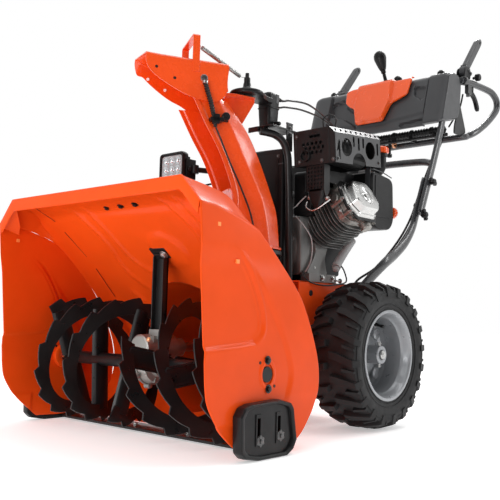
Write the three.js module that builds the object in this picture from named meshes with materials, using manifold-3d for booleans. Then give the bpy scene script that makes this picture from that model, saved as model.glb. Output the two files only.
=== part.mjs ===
// Two-stage snowblower: auger housing, impeller and chute, engine, wheels and controls.
// Millimetres, +Z up, the intake faces -Y, the operator's left is +X. Every coordinate below is
// measured from the point on the ground under the wheel axle; the whole machine then moves
// along Y so that the origin is the ground point under the middle of its length.
import * as THREE from "three";
import { mergeVertices } from "three/addons/utils/BufferGeometryUtils.js";
import Module from "manifold-3d";

const wasm = await Module();
wasm.setup();

// ---------------------------------------------------------------- driving dimensions
const GAP = 0.3; // between touching pieces
const SHEET = 2.5; // sheet-metal thickness

const HOUSING_HALF = 381; // outer face of a housing side plate
const PLATE = 3; // side plate thickness
const FRONT_Y = -770; // foremost edge of the housing
const REAR_Y = 866.1; // rearmost edge of the handle loops
const ROOF_HALF = 321; // half width of the flat roof at its front edge
const ROOF_FRONT_Z = 589;
const LIP = 28; // folded strip along the front edge of the roof

const AUGER_Y = -548;
const AUGER_Z = 176;
const AUGER_R = 166;
const AUGER_LEAD = 240;
const RIBBON = 45; // radial width of the auger flights
const IMPELLER_Z = 215;
const DRUM_R = 170; // inside radius of the impeller drum
const DRUM_REAR_Y = -166;

const CHUTE_X = 25; // the chute's turning axis
const CHUTE_Y = -245;
const CHUTE_HEADING = -30; // degrees about Z from straight ahead
const CHUTE_HALF = 80; // half width of the chute's channel
const CHUTE_BASE_Z = 486.5;
const NECK_R = 84;

const AXLE_Z = 203;
const TYRE_R = 203;
const TYRE_HALF = 77;
const WHEEL_X = 288.5;
const RIM_R = 116.5;
const AXLE_R = 12.5;
const WHEEL_SIDES = 28;

const FRAME_HALF = 168; // outer face of the chassis side
const FRAME_TOP = 403;
const CRANK_Z = 505;
const BELT_Y = -114; // middle plane of the auger belt
const CYLINDER_TILT = 30; // degrees the engine's cylinder rises towards +X

const HANDLE_X = 250; // plane between the lower and the upper handle tube
const LOOP_TUBE_R = 12;

// ---------------------------------------------------------------- solids
function solidOf(geometry) {
  const bare = geometry.index ? geometry.toNonIndexed() : geometry;
  const onlyPosition = new THREE.BufferGeometry().setAttribute("position", bare.getAttribute("position"));
  const merged = mergeVertices(onlyPosition, 1e-4);
  return new wasm.Manifold(
    new wasm.Mesh({
      numProp: 3,
      vertProperties: merged.attributes.position.array,
      triVerts: new Uint32Array(merged.index.array),
    }),
  );
}

function geometryOf(solid) {
  const { vertProperties, triVerts } = solid.getMesh();
  const geometry = new THREE.BufferGeometry();
  geometry.setAttribute("position", new THREE.BufferAttribute(vertProperties, 3));
  geometry.setIndex(new THREE.BufferAttribute(triVerts, 1));
  const flat = geometry.toNonIndexed();
  flat.computeVertexNormals();
  return flat;
}

const join = (...solids) => solids.reduce((all, one) => all.add(one));
const cut = (body, ...tools) => tools.reduce((rest, tool) => rest.subtract(tool), body);

function box(x0, x1, y0, y1, z0, z1) {
  const shape = new THREE.BoxGeometry(x1 - x0, y1 - y0, z1 - z0);
  return solidOf(shape.translate((x0 + x1) / 2, (y0 + y1) / 2, (z0 + z1) / 2));
}

// A round bar along an axis; a and b are its centre in the other two axes, in X, Y, Z order.
function rod(axis, radius, from, to, a = 0, b = 0, sides = 16, radiusTo = radius) {
  const shape = new THREE.CylinderGeometry(radiusTo, radius, to - from, sides);
  const middle = (from + to) / 2;
  if (axis === "x") shape.rotateZ(-Math.PI / 2).translate(middle, a, b);
  if (axis === "y") shape.translate(a, middle, b);
  if (axis === "z") shape.rotateX(Math.PI / 2).translate(a, b, middle);
  return solidOf(shape);
}

const pipe = (axis, outer, inner, from, to, a, b, sides = 32) =>
  cut(rod(axis, outer, from, to, a, b, sides), rod(axis, inner, from - 1, to + 1, a, b, sides));

// An outline pushed along an axis. Along x the outline is in (y, z), along y in (x, z), along z in (x, y).
function prism(axis, outline, from, to) {
  const drawn = outline instanceof THREE.Shape;
  const shape = drawn ? outline : new THREE.Shape(outline.map((p) => new THREE.Vector2(...p)));
  const settings = { depth: to - from, bevelEnabled: false, curveSegments: 5 };
  const raw = new THREE.ExtrudeGeometry(shape, settings);
  if (axis === "x") raw.rotateX(Math.PI / 2).rotateZ(Math.PI / 2).translate(from, 0, 0);
  if (axis === "y") raw.rotateX(Math.PI / 2).translate(0, to, 0);
  if (axis === "z") raw.translate(0, 0, from);
  return solidOf(raw);
}

const vectors = (points) => points.map((p) => new THREE.Vector3(...p));

// A bar of elliptical section along a smooth path; wide lies in the plane square to X.
function bar(points, wide, thin = wide, sides = 8, steps = 2 * points.length) {
  const section = new THREE.Shape();
  section.absellipse(0, 0, thin, wide, 0, 2 * Math.PI);
  const extrudePath = new THREE.CatmullRomCurve3(vectors(points), false, "centripetal");
  const settings = { steps, extrudePath, bevelEnabled: false, curveSegments: sides / 2 };
  return solidOf(new THREE.ExtrudeGeometry(section, settings));
}

// Sheet metal: rows of points on the outer face, thickened away from (next row) x (next column).
function sheet(rows, thickness) {
  const grid = rows.map(vectors);
  const [tall, wide] = [grid.length, grid[0].length];
  const at = (i, j) => grid[Math.min(Math.max(i, 0), tall - 1)][Math.min(Math.max(j, 0), wide - 1)];
  const inner = grid.map((row, i) =>
    row.map((point, j) => {
      const along = at(i + 1, j).clone().sub(at(i - 1, j));
      const across = at(i, j + 1).clone().sub(at(i, j - 1));
      return point.clone().addScaledVector(along.cross(across).normalize(), -thickness);
    }),
  );
  const faces = [];
  const quad = (a, b, c, d) => faces.push(a, b, c, a, c, d);
  for (let i = 0; i + 1 < tall; i++)
    for (let j = 0; j + 1 < wide; j++) {
      quad(grid[i][j], grid[i + 1][j], grid[i + 1][j + 1], grid[i][j + 1]);
      quad(inner[i][j], inner[i][j + 1], inner[i + 1][j + 1], inner[i + 1][j]);
    }
  for (let i = 0; i + 1 < tall; i++) {
    const last = wide - 1;
    quad(grid[i][0], inner[i][0], inner[i + 1][0], grid[i + 1][0]);
    quad(grid[i][last], grid[i + 1][last], inner[i + 1][last], inner[i][last]);
  }
  for (let j = 0; j + 1 < wide; j++) {
    const last = tall - 1;
    quad(grid[0][j], grid[0][j + 1], inner[0][j + 1], inner[0][j]);
    quad(grid[last][j], inner[last][j], inner[last][j + 1], grid[last][j + 1]);
  }
  const solid = solidOf(new THREE.BufferGeometry().setFromPoints(faces));
  if (solid.volume() < 0) throw new Error("a sheet is inside out");
  return solid;
}

function lathe(axis, profile, sides = WHEEL_SIDES) {
  const shape = new THREE.LatheGeometry(profile.map((p) => new THREE.Vector2(...p)), sides);
  if (axis === "x") shape.rotateZ(-Math.PI / 2);
  if (axis === "z") shape.rotateX(Math.PI / 2);
  return solidOf(shape);
}

const mirrored = (points) => points.map(([x, ...rest]) => [-x, ...rest]);
const radians = THREE.MathUtils.degToRad;

// ---------------------------------------------------------------- finishes
const finish = (color, roughness, metalness) => ({ color, roughness, metalness });
const ORANGE = finish(0xe8491d, 0.35, 0.0);
const BLACK = finish(0x151515, 0.5, 0.0);
const GREY_PLASTIC = finish(0x4b4c4e, 0.6, 0.0);
const TUBE_GREY = finish(0x3a3b3d, 0.45, 0.3);
const CAST = finish(0x9a9a97, 0.5, 0.8);
const BRIGHT = finish(0xd8d8d6, 0.25, 0.9);
const RIM_GREY = finish(0x8f9093, 0.45, 0.3);
const RUBBER = finish(0x161616, 0.9, 0.0);
const STEEL = finish(0x8a8a8a, 0.4, 0.9);

function piece(group, name, solid, look) {
  const mesh = new THREE.Mesh(geometryOf(solid), new THREE.MeshStandardMaterial(look));
  mesh.name = name;
  group.add(mesh);
  return mesh;
}

const machine = new THREE.Group();
machine.position.y = -(FRONT_Y + REAR_Y) / 2;

// ---------------------------------------------------------------- auger housing
const HOUSING_REAR = [
  [-587, 490],
  [-512, 426],
  [-435, 343],
  [-386, 251],
  [-364, 178],
  [-370, 110],
  [-396, 66],
  [-434, 29],
  [-485, 14],
];
const REAR_STEPS = 12;

// The rear of the housing, seen from the side, as evenly spaced points on a smooth curve.
function rearCurve() {
  const curve = new THREE.SplineCurve(HOUSING_REAR.map((p) => new THREE.Vector2(...p)));
  return curve.getPoints(REAR_STEPS).map((p) => [p.x, p.y]);
}

// The same points moved outwards, square to the curve.
function offsetLine(points, distance) {
  return points.map(([y, z], i) => {
    const [y0, z0] = points[Math.max(i - 1, 0)];
    const [y1, z1] = points[Math.min(i + 1, points.length - 1)];
    const length = Math.hypot(y1 - y0, z1 - z0);
    return [y - ((z1 - z0) / length) * distance, z + ((y1 - y0) / length) * distance];
  });
}

function sidePlateOutline() {
  return [
    [FRONT_Y + 2, 532],
    [-724, 529],
    [-674, 518],
    [-621, 503],
    ...rearCurve(),
    [-628, 14],
    [-676, 51],
    [-704, 79],
    [-732, 123],
    [-740, 235],
  ];
}

function housingWrap() {
  const half = HOUSING_HALF - PLATE - GAP;
  const row = (edgeY, edgeZ, creaseX, creaseY, creaseZ) => [
    [half, edgeY, edgeZ],
    [creaseX, creaseY, creaseZ],
    [-creaseX, creaseY, creaseZ],
    [-half, edgeY, edgeZ],
  ];
  const innerCrease = half - 10;
  const rows = [
    row(FRONT_Y + 4, 532 - LIP, ROOF_HALF - 12, FRONT_Y + 3, ROOF_FRONT_Z - LIP),
    row(FRONT_Y + 2, 532, ROOF_HALF, FRONT_Y, ROOF_FRONT_Z),
    row(-676, 519, 352, -676, 562),
    row(-645, 510, 364, -645, 537),
    ...rearCurve().map(([y, z]) => row(y, z, innerCrease, y, z)),
  ];
  const folded = sheet(rows, SHEET).intersect(box(-half, half, FRONT_Y, 0, 0, 600));
  return cut(folded, rod("y", DRUM_R, -480, -330, 0, IMPELLER_Z, 32));
}

// The drum behind the housing, with the neck that carries the chute ring.
function impellerDrum() {
  const wall = 3;
  const outside = join(
    rod("y", DRUM_R + wall, -470, DRUM_REAR_Y, 0, IMPELLER_Z, 32),
    rod("z", NECK_R, IMPELLER_Z, 470, CHUTE_X, CHUTE_Y, 24),
  );
  const inside = join(
    rod("y", DRUM_R, -480, DRUM_REAR_Y - wall, 0, IMPELLER_Z, 32),
    rod("z", NECK_R - wall, IMPELLER_Z, 480, CHUTE_X, CHUTE_Y, 24),
  );
  const frontOfWrap = [...offsetLine(rearCurve(), GAP), [-600, 0], [-600, 495]];
  const shaftHole = rod("y", 13, DRUM_REAR_Y - 10, DRUM_REAR_Y + 5, 0, IMPELLER_Z);
  return cut(outside, inside, prism("x", frontOfWrap, -300, 300), shaftHole);
}

function skidShoe(side) {
  const outline = [
    [-657, 95],
    [-645, 112],
    [-622, 119],
    [-527, 123],
    [-490, 114],
    [-480, 103],
    [-467, 31],
    [-478, 12],
    [-500, 0],
    [-597, 0],
    [-640, 8],
    [-654, 21],
  ];
  const [near, far] = [HOUSING_HALF + GAP, HOUSING_HALF + 25];
  const slot = (y) => prism("x", [[y - 6, 41], [y + 6, 41], [y + 6, 88], [y - 6, 88]], near - 5, far + 5);
  const right = cut(prism("x", outline, near, far), slot(-594), slot(-527));
  return side > 0 ? right : right.mirror([1, 0, 0]);
}

function gearboxBrace() {
  const strap = [
    [-541, 262],
    [-541, 440.5],
    [-556, 453],
    [-560, 449],
    [-548, 438],
    [-548, 262],
  ];
  const foot = [
    [-565.3, 467.3],
    [-537.9, 443.9],
    [-541.1, 440.1],
    [-568.5, 463.5],
  ];
  return join(prism("x", strap, 4, 44), prism("x", foot, -4, 52));
}

function augerGearbox() {
  const body = join(
    rod("x", 48, -34, 34, AUGER_Y, AUGER_Z, 20),
    rod("x", 30, -44, 44, AUGER_Y, AUGER_Z, 16),
    rod("y", 34, -590, -480, 0, IMPELLER_Z, 16),
    rod("y", 24, -480, -452, 0, IMPELLER_Z, 16),
    box(4, 44, -558, -538, 240, 261.7),
    box(-20, 30, -570, -520, 225, 245),
  );
  return cut(
    body,
    rod("x", 13.2, -60, 60, AUGER_Y, AUGER_Z, 24),
    rod("y", 12.5, -545, -440, 0, IMPELLER_Z, 20),
  );
}

// A side plate, with the auger's bearing flange riveted to its inner face.
function sidePlate(side) {
  const plate = prism("x", sidePlateOutline(), HOUSING_HALF - PLATE, HOUSING_HALF);
  const flange = rod("x", 34, HOUSING_HALF - PLATE - 12, HOUSING_HALF - 1, AUGER_Y, AUGER_Z, 24);
  const bore = rod("x", 13.2, HOUSING_HALF - 30, HOUSING_HALF + 5, AUGER_Y, AUGER_Z, 20);
  const left = cut(join(plate, flange), bore);
  return side > 0 ? left : left.mirror([1, 0, 0]);
}

piece(machine, "housing_wrap", housingWrap(), ORANGE);
piece(machine, "housing_side_left", sidePlate(1), ORANGE);
piece(machine, "housing_side_right", sidePlate(-1), ORANGE);
piece(machine, "impeller_drum", impellerDrum(), ORANGE);
piece(machine, "scraper_bar", box(-374, 374, -545, -472, 3, 10), BLACK);
piece(machine, "skid_shoe_left", skidShoe(1), BLACK);
piece(machine, "skid_shoe_right", skidShoe(-1), BLACK);
piece(machine, "gearbox_brace", gearboxBrace(), BLACK);
piece(machine, "auger_gearbox", augerGearbox(), CAST);

// ---------------------------------------------------------------- augers, about their own axis
const augers = new THREE.Group();
augers.position.set(0, AUGER_Y, AUGER_Z);
machine.add(augers);
const RIBBON_FROM = 62;
const RIBBON_TO = 345;
const PHASE_X = 79; // where the first flight of the left auger crosses the front
const RIGHT_PHASE = radians(94.5); // turn of the right auger against the mirrored left one

// Angle from +Y towards +Z at which a flight stands at x.
const flightAngle = (x) => Math.PI + ((x - PHASE_X) / AUGER_LEAD) * 2 * Math.PI;

function flight(turn) {
  const segments = 22;
  const ring = (x) => {
    const angle = flightAngle(x) + turn;
    const point = (radius, shift) => [x + shift, radius * Math.cos(angle), radius * Math.sin(angle)];
    const inner = AUGER_R - RIBBON;
    return [point(inner, -2.5), point(AUGER_R, -2), point(AUGER_R, 2), point(inner, 2.5)];
  };
  const faces = [];
  const quad = (a, b, c, d) => faces.push(a, b, c, a, c, d);
  const rings = Array.from({ length: segments + 1 }, (_, i) =>
    vectors(ring(RIBBON_FROM + ((RIBBON_TO - RIBBON_FROM) * i) / segments)),
  );
  for (let i = 0; i < segments; i++)
    for (let j = 0; j < 4; j++) {
      const k = (j + 1) % 4;
      quad(rings[i][j], rings[i + 1][j], rings[i + 1][k], rings[i][k]);
    }
  const [first, last] = [rings[0], rings[segments]];
  quad(first[0], first[1], first[2], first[3]);
  quad(last[3], last[2], last[1], last[0]);
  return solidOf(new THREE.BufferGeometry().setFromPoints(faces));
}

function augerHalf() {
  const tube = rod("x", 17, 48, 356, 0, 0, 20);
  const starts = [0, Math.PI];
  const arms = starts.flatMap((turn) =>
    [RIBBON_FROM + 8, (RIBBON_FROM + RIBBON_TO) / 2, RIBBON_TO - 8].map((x) => {
      const length = AUGER_R - RIBBON + 5;
      const arm = solidOf(new THREE.BoxGeometry(7, length, 24).translate(0, length / 2, 0));
      const degrees = THREE.MathUtils.radToDeg(flightAngle(x) + turn);
      return arm.rotate([degrees, 0, 0]).translate([x, 0, 0]);
    }),
  );
  const welded = join(tube, ...arms, ...starts.map(flight));
  return cut(welded, rod("x", 13.2, 40, 370, 0, 0, 20));
}

piece(augers, "auger_left", augerHalf(), BLACK);
const rightAuger = augerHalf().mirror([1, 0, 0]).rotate([-THREE.MathUtils.radToDeg(RIGHT_PHASE), 0, 0]);
piece(augers, "auger_right", rightAuger, BLACK);
piece(augers, "auger_shaft", rod("x", 12.7, -HOUSING_HALF + 1, HOUSING_HALF - 1, 0, 0, 20), STEEL);

// ---------------------------------------------------------------- impeller, about its own axis
const impellerGroup = new THREE.Group();
impellerGroup.position.set(0, 0, IMPELLER_Z);
machine.add(impellerGroup);

function impeller() {
  const blades = 4;
  const blade = () => box(10, DRUM_R - 6, -355, -205, -3, 3);
  const all = Array.from({ length: blades }, (_, i) => blade().rotate([0, (i * 360) / blades, 0]));
  const hub = join(rod("y", 24, -360, -190, 0, 0, 20), rod("y", 90, -206, -202, 0, 0, 28));
  return cut(join(hub, ...all), rod("y", 12.3, -370, -180, 0, 0, 20));
}

// Grooved pulley: flanges of the outer radius either side of a groove.
function pulley(outer, groove, y, halfWidth, bore) {
  const flange = (from, to) => rod("y", outer, from, to, 0, 0, 24);
  const grooveHalf = halfWidth - 3;
  const wheel = join(
    flange(y - halfWidth, y - grooveHalf),
    rod("y", groove, y - halfWidth, y + halfWidth, 0, 0, 24),
    flange(y + grooveHalf, y + halfWidth),
  );
  return cut(wheel, rod("y", bore, y - 40, y + 40));
}

const BELT_HALF = 6;
const BIG_PULLEY = { outer: 104, groove: 94 };
const SMALL_PULLEY = { outer: 40, groove: 31 };
piece(impellerGroup, "impeller", impeller(), BLACK);
piece(impellerGroup, "impeller_shaft", rod("y", 12, -535, -92, 0, 0, 20), STEEL);
const bigPulley = pulley(BIG_PULLEY.outer, BIG_PULLEY.groove, BELT_Y, 10, 12.3);
piece(impellerGroup, "impeller_pulley", bigPulley, CAST);

// ---------------------------------------------------------------- chute, in its own frame: ahead is -Y
const chuteGroup = new THREE.Group();
chuteGroup.position.set(CHUTE_X, CHUTE_Y, 0);
chuteGroup.rotation.z = radians(CHUTE_HEADING);
machine.add(chuteGroup);

// Height, rear edge, side crease and front edge of the channel, ahead of the turning axis.
const CHUTE_STATIONS = [
  { z: 491, rear: -92, crease: -52, front: 58 },
  { z: 584, rear: -82, crease: -36, front: 58 },
  { z: 643, rear: -63, crease: -17, front: 62 },
  { z: 739, rear: -25, crease: 32, front: 98 },
  { z: 815, rear: 14, crease: 68, front: 141 },
  { z: 892, rear: 73, crease: 108, front: 181 },
];
const CHUTE_REAR_HALF = 52;

const stationSection = ({ z, rear, crease, front }) => [
  [-CHUTE_HALF, -front, z],
  [-CHUTE_HALF, -crease, z],
  [-CHUTE_REAR_HALF, -rear, z],
  [CHUTE_REAR_HALF, -rear, z],
  [CHUTE_HALF, -crease, z],
  [CHUTE_HALF, -front, z],
];

function chute() {
  const channel = sheet(CHUTE_STATIONS.map(stationSection), SHEET);
  const low = CHUTE_STATIONS.slice(0, 3).map(({ z, front }) => [
    [CHUTE_HALF, -front + 1, z],
    [-CHUTE_HALF, -front + 1, z],
  ]);
  const front = sheet(low, SHEET);
  const flange = cut(
    rod("z", 109, CHUTE_BASE_Z, 492, 0, 0, 28),
    prism("z", [[-70, -50], [70, -50], [70, 40], [48, 78], [-48, 78], [-70, 40]], 480, 500),
  );
  return join(channel, front, flange);
}

// The bracket behind the chute's head, with the pin that the actuator turns.
function chuteBracket() {
  const gusset = [
    [-66, 924],
    [24, 924],
    [24, 914],
    [-12, 848],
    [-34, 843],
    [-66, 880],
  ];
  const top = [
    [-34, -72],
    [34, -72],
    [34, -40],
    [20, 22],
    [-20, 22],
    [-34, -40],
  ];
  return join(prism("x", gusset, -2, 2), prism("z", top, 921, 924.5), rod("z", 8.5, 922, 942, 0, 0, 16));
}

const springSlot = prism("x", [[-80, 926], [26, 926], [26, 842], [-36, 838], [-80, 878]], -3, 3);
piece(chuteGroup, "chute", cut(chute(), springSlot), ORANGE);
piece(chuteGroup, "chute_bracket", chuteBracket(), ORANGE);

function deflector() {
  const outer = CHUTE_HALF + 6;
  const side = [
    [-311, 991],
    [-81, 986],
    [-86, 946],
    [-80, 899],
    [-95, 880],
    [-115, 879],
    [-186, 892],
    [-227, 906],
    [-297, 941],
    [-306, 965],
  ];
  const wall = (x) => prism("x", side, x - 1.5, x + 1.5);
  const top = [
    [-311, 991],
    [-81, 986],
    [-86, 946],
    [-83, 912],
    [-86, 912],
    [-89, 946],
    [-84, 983],
    [-311, 988],
  ];
  return join(wall(outer - 1.5), wall(1.5 - outer), prism("x", top, -outer, outer));
}

function deflectorHandle() {
  const bracket = [
    [-44, 988.8],
    [-44, 1060],
    [90.3, 1060],
    [90.3, 955],
    [86.3, 955],
    [86.3, 1056],
    [-40, 1056],
    [-40, 988.8],
  ];
  return prism("y", bracket, -185, -165);
}

piece(chuteGroup, "deflector", deflector(), ORANGE);
piece(chuteGroup, "deflector_handle", deflectorHandle(), ORANGE);
const SPRING_ENDS = [
  [78, -156, 1030],
  [8, -26, 990],
];
piece(chuteGroup, "deflector_spring", bar(SPRING_ENDS, 7, 7, 8, 2), STEEL);

// ---------------------------------------------------------------- chute ring, post and actuator
piece(machine, "chute_ring", pipe("z", 111, 76, 470.3, 486, CHUTE_X, CHUTE_Y, 28), BLACK);

function chutePost() {
  const path = [
    [90, -114, FRAME_TOP + GAP],
    [89, -118, 600],
    [86, -124, 750],
    [81, -141, 808],
    [64, -158, 830],
    [50, -176, 836],
    [38, -196, 838],
  ];
  const plate = box(-4, 84, -200, -82, 848, 852);
  const stay = box(78, 83, -126, -102, 790, 868);
  const actuatorFoot = box(30, 50, -196, -176, 836, 850);
  const lampFoot = box(70, 82, -122, -102, 846, 852);
  return join(bar(path, 12, 12, 8, 16), plate, stay, actuatorFoot, lampFoot);
}

function chuteActuator() {
  const motor = box(-14, 34, -154, -104, 852.5, 968);
  const arm = box(-10, 30, -210, -150, 931, 952);
  const disc = rod("z", 50, 930, 952, CHUTE_X, CHUTE_Y, 32);
  const stud = rod("z", 9, 952, 1000, CHUTE_X, CHUTE_Y, 16);
  return cut(join(motor, arm, disc, stud), rod("z", 9.1, 925, 944, CHUTE_X, CHUTE_Y, 16));
}

function headlight() {
  const [x, y, z] = [-228, -280, 736];
  const lamp = box(x - 53, x + 53, y - 20, y + 22, z - 50, z + 50);
  const yoke = box(x + 53, x + 59, y - 8, y + 30, z - 30, z + 30);
  const arm = [
    [x + 58, y + 26],
    [x + 62, y + 12],
    [-110.5, -128],
    [-110.5, -112],
  ];
  return join(lamp, yoke, prism("z", arm, z - 8, z + 8));
}

piece(machine, "chute_post", chutePost(), BLACK);
piece(machine, "chute_actuator", chuteActuator(), BLACK);
piece(machine, "headlight", headlight(), BLACK);

// ---------------------------------------------------------------- chassis and belt drive
function chassisFrame() {
  const wall = 3;
  const outline = [
    [-FRAME_HALF, 95],
    [-FRAME_HALF, FRAME_TOP],
    [FRAME_HALF, FRAME_TOP],
    [FRAME_HALF, 95],
    [FRAME_HALF - wall, 95],
    [FRAME_HALF - wall, FRAME_TOP - wall],
    [wall - FRAME_HALF, FRAME_TOP - wall],
    [wall - FRAME_HALF, 95],
  ];
  const front = DRUM_REAR_Y + GAP;
  const tub = join(prism("y", outline, front, 150), box(-FRAME_HALF, FRAME_HALF, 147, 150, 95, FRAME_TOP));
  const axleHoles = rod("x", AXLE_R + 1.5, -200, 200, 0, AXLE_Z, 24);
  const beltSlot = box(-112, 76, BELT_Y - 19, BELT_Y + 15, FRAME_TOP - 10, FRAME_TOP + 10);
  const neckNotch = rod("z", NECK_R + 2, FRAME_TOP - 10, FRAME_TOP + 10, CHUTE_X, CHUTE_Y, 32);
  return cut(tub, axleHoles, beltSlot, neckNotch);
}

function beltCover() {
  const [front, rear] = [-132, -97];
  const shell = box(-110, 72, front, rear, FRAME_TOP + GAP, 795);
  const hollow = box(-107, 69, front + 3, rear - 3, FRAME_TOP - 5, 792);
  return cut(shell, hollow, rod("y", 22, rear - 10, rear + 5, 0, CRANK_Z));
}

// The belt hugs the engine pulley above and the impeller pulley below, a little off their grooves.
function beltLoop(gap) {
  const centres = CRANK_Z - IMPELLER_Z;
  const [small, big] = [SMALL_PULLEY.groove + gap, BIG_PULLEY.groove + gap];
  const lean = Math.asin((big - small) / centres);
  const points = [];
  const arc = (radius, centre, from, to, steps) => {
    for (let i = 0; i <= steps; i++) {
      const angle = from + ((to - from) * i) / steps;
      points.push([radius * Math.cos(angle), centre + radius * Math.sin(angle)]);
    }
  };
  arc(small, CRANK_Z, lean, Math.PI - lean, 12);
  arc(big, IMPELLER_Z, Math.PI - lean, 2 * Math.PI + lean, 24);
  return points;
}

function augerBelt() {
  const outside = prism("y", beltLoop(9), BELT_Y - BELT_HALF, BELT_Y + BELT_HALF);
  return cut(outside, prism("y", beltLoop(0.8), BELT_Y - 20, BELT_Y + 20));
}

piece(machine, "chassis_frame", chassisFrame(), ORANGE);
piece(machine, "belt_cover", beltCover(), BLACK);
piece(machine, "auger_belt", augerBelt(), RUBBER);
const crank = new THREE.Group();
crank.position.set(0, 0, CRANK_Z);
machine.add(crank);
const crankStub = rod("y", 14, BELT_Y - 10, -80, 0, 0, 20);
const enginePulley = pulley(SMALL_PULLEY.outer, SMALL_PULLEY.groove, BELT_Y, 10, 5);
piece(crank, "engine_pulley", join(enginePulley, crankStub), STEEL);

// ---------------------------------------------------------------- engine
const CYLINDER_Y = 35;
const CYLINDER_Z = 516;
const inclined = (solid) => solid.rotate([0, -CYLINDER_TILT, 0]).translate([0, CYLINDER_Y, CYLINDER_Z]);

function engineBlock() {
  const fins = Array.from({ length: 9 }, (_, i) => box(118 + i * 12, 122 + i * 12, -82, 82, -72, 78));
  const cylinder = join(box(60, 224, -55, 55, -52, 55), box(216, 258, -74, 74, -62, 66), ...fins);
  const crankcase = join(box(-98, 105, -78, 118, 425, 600), box(-110, 130, -70, 110, FRAME_TOP + GAP, 430));
  const sump = rod("y", 92, -78, 100, 0, CRANK_Z, 28);
  return cut(join(crankcase, sump, inclined(cylinder)), rod("y", 15, -90, -70, 0, CRANK_Z, 20));
}

function valveCover() {
  const hex = [
    [-70, -26],
    [-44, -60],
    [44, -60],
    [70, -26],
    [62, 42],
    [38, 62],
    [-38, 62],
    [-62, 42],
  ];
  return inclined(prism("x", hex, 258 + GAP, 293));
}

// A sheet-metal box that is open underneath.
function hood([x0, x1, y0, y1, z0, z1], wall) {
  const inside = box(x0 + wall, x1 - wall, y0 + wall, y1 - wall, z0 - wall, z1 - wall);
  return cut(box(x0, x1, y0, y1, z0, z1), inside);
}

const SILENCER_Z = 790;
const SILENCER_TILT = 5.5;

function mufflerGuard() {
  const shell = hood([104, 250, -121, 120, 747, 850], 2);
  const faceHoles = [-62, 61].map((y) => rod("x", 26, 240, 260, y, 793, 20));
  const slots = [-26, 0, 24].map((y) => box(240, 260, y - 4.5, y + 4.5, 806, 838));
  const arch = rod("x", 35, 240, 260, 0, 746, 20);
  const guard = cut(shell, ...faceHoles, ...slots, arch);
  return guard.translate([0, 0, -SILENCER_Z]).rotate([SILENCER_TILT, 0, 0]).translate([0, 0, SILENCER_Z]);
}

function plugShroud() {
  const outline = [
    [-112, 733],
    [-84, 733],
    [-84, 660],
    [-92, 632],
    [-101, 613],
    [-112, 640],
  ];
  return prism("x", outline, 146, 208);
}

function recoilHousing() {
  const drum = rod("y", 98, 118 + GAP, 165, 0, CRANK_Z, 24);
  return cut(drum, rod("y", 94, 110, 161, 0, CRANK_Z, 24), rod("y", 6, 150, 170, 50, 560, 12));
}

function carburettorBox() {
  const outline = [
    [118, 596],
    [118, 755],
    [240, 742],
    [246, 608],
    [226, 580],
    [152, 574],
  ];
  return prism("x", outline, 132, 222);
}

function fuelTank() {
  const tank = join(box(-150, 96, 152, 280, 640, 790), box(-120, 80, 60, 160, 700, 790));
  const neckPath = [[60, 230, 765], [112, 256, 768], [150, 268, 786], [156, 268, 812], [156, 268, 838]];
  const neck = bar(neckPath, 20, 20, 10, 10);
  return join(tank, neck);
}

piece(machine, "engine_block", engineBlock(), CAST);
piece(machine, "valve_cover", valveCover(), BRIGHT);
piece(machine, "muffler", rod("y", 42, -88, 92, 180, SILENCER_Z + 2, 24), BLACK);
piece(machine, "muffler_guard", mufflerGuard(), BLACK);
piece(machine, "plug_shroud", plugShroud(), BLACK);
piece(machine, "recoil_housing", recoilHousing(), BLACK);
const recoilGrip = join(box(25, 75, 166, 183, 550, 570), rod("y", 5.3, 130, 167, 50, 560, 12));
piece(machine, "recoil_grip", recoilGrip, BLACK);
piece(machine, "carburettor_box", carburettorBox(), BLACK);
piece(machine, "choke_knob", rod("y", 17, 248, 268, 205, 640, 20), ORANGE);
piece(machine, "fuel_tank", fuelTank(), BLACK);
piece(machine, "fuel_cap", rod("z", 27, 839.5, 862, 156, 268, 24), ORANGE);

// ---------------------------------------------------------------- wheels, each about its own centre
function tyre() {
  const [bead, wall] = [RIM_R + 0.5, 67];
  return lathe("x", [
    [bead, -wall],
    [bead + 12, -wall],
    [150, -TYRE_HALF],
    [178, -TYRE_HALF + 2],
    [196, -TYRE_HALF + 14],
    [TYRE_R, -40],
    [TYRE_R, 40],
    [196, TYRE_HALF - 14],
    [178, TYRE_HALF - 2],
    [150, TYRE_HALF],
    [bead + 12, wall],
    [bead, wall],
    [bead, -wall],
  ]);
}

function rim() {
  const [flange, wall, thick] = [RIM_R + 8, 67.5, 3];
  return lathe("x", [
    [AXLE_R + 0.5, -40],
    [26, -40],
    [26, -8],
    [RIM_R - thick, -20],
    [RIM_R - thick, -wall - thick],
    [flange, -wall - thick],
    [flange, -wall],
    [RIM_R, -wall],
    [RIM_R, wall],
    [flange, wall],
    [flange, wall + thick],
    [RIM_R - thick, wall + thick],
    [RIM_R - thick, -16],
    [26, -4],
    [26, 46],
    [AXLE_R + 0.5, 46],
    [AXLE_R + 0.5, -40],
  ]);
}

for (const [name, side] of [["left", 1], ["right", -1]]) {
  const wheel = new THREE.Group();
  wheel.position.set(side * WHEEL_X, 0, AXLE_Z);
  wheel.rotation.z = side > 0 ? 0 : Math.PI;
  machine.add(wheel);
  piece(wheel, `tyre_${name}`, tyre(), RUBBER);
  piece(wheel, `rim_${name}`, rim(), RIM_GREY);
  piece(wheel, `axle_${name}`, rod("x", AXLE_R, 6 - WHEEL_X, 52, 0, 0, 24), STEEL);
}

// ---------------------------------------------------------------- handle
const TUBE_WIDE = 17;
const TUBE_THIN = 7.2;
const TUBE_OFFSET = TUBE_THIN + 0.4;
const OVERLAP_LOW = [352, 645]; // the lower and the upper tube run side by side from here
const OVERLAP_HIGH = [408, 765];

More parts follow.
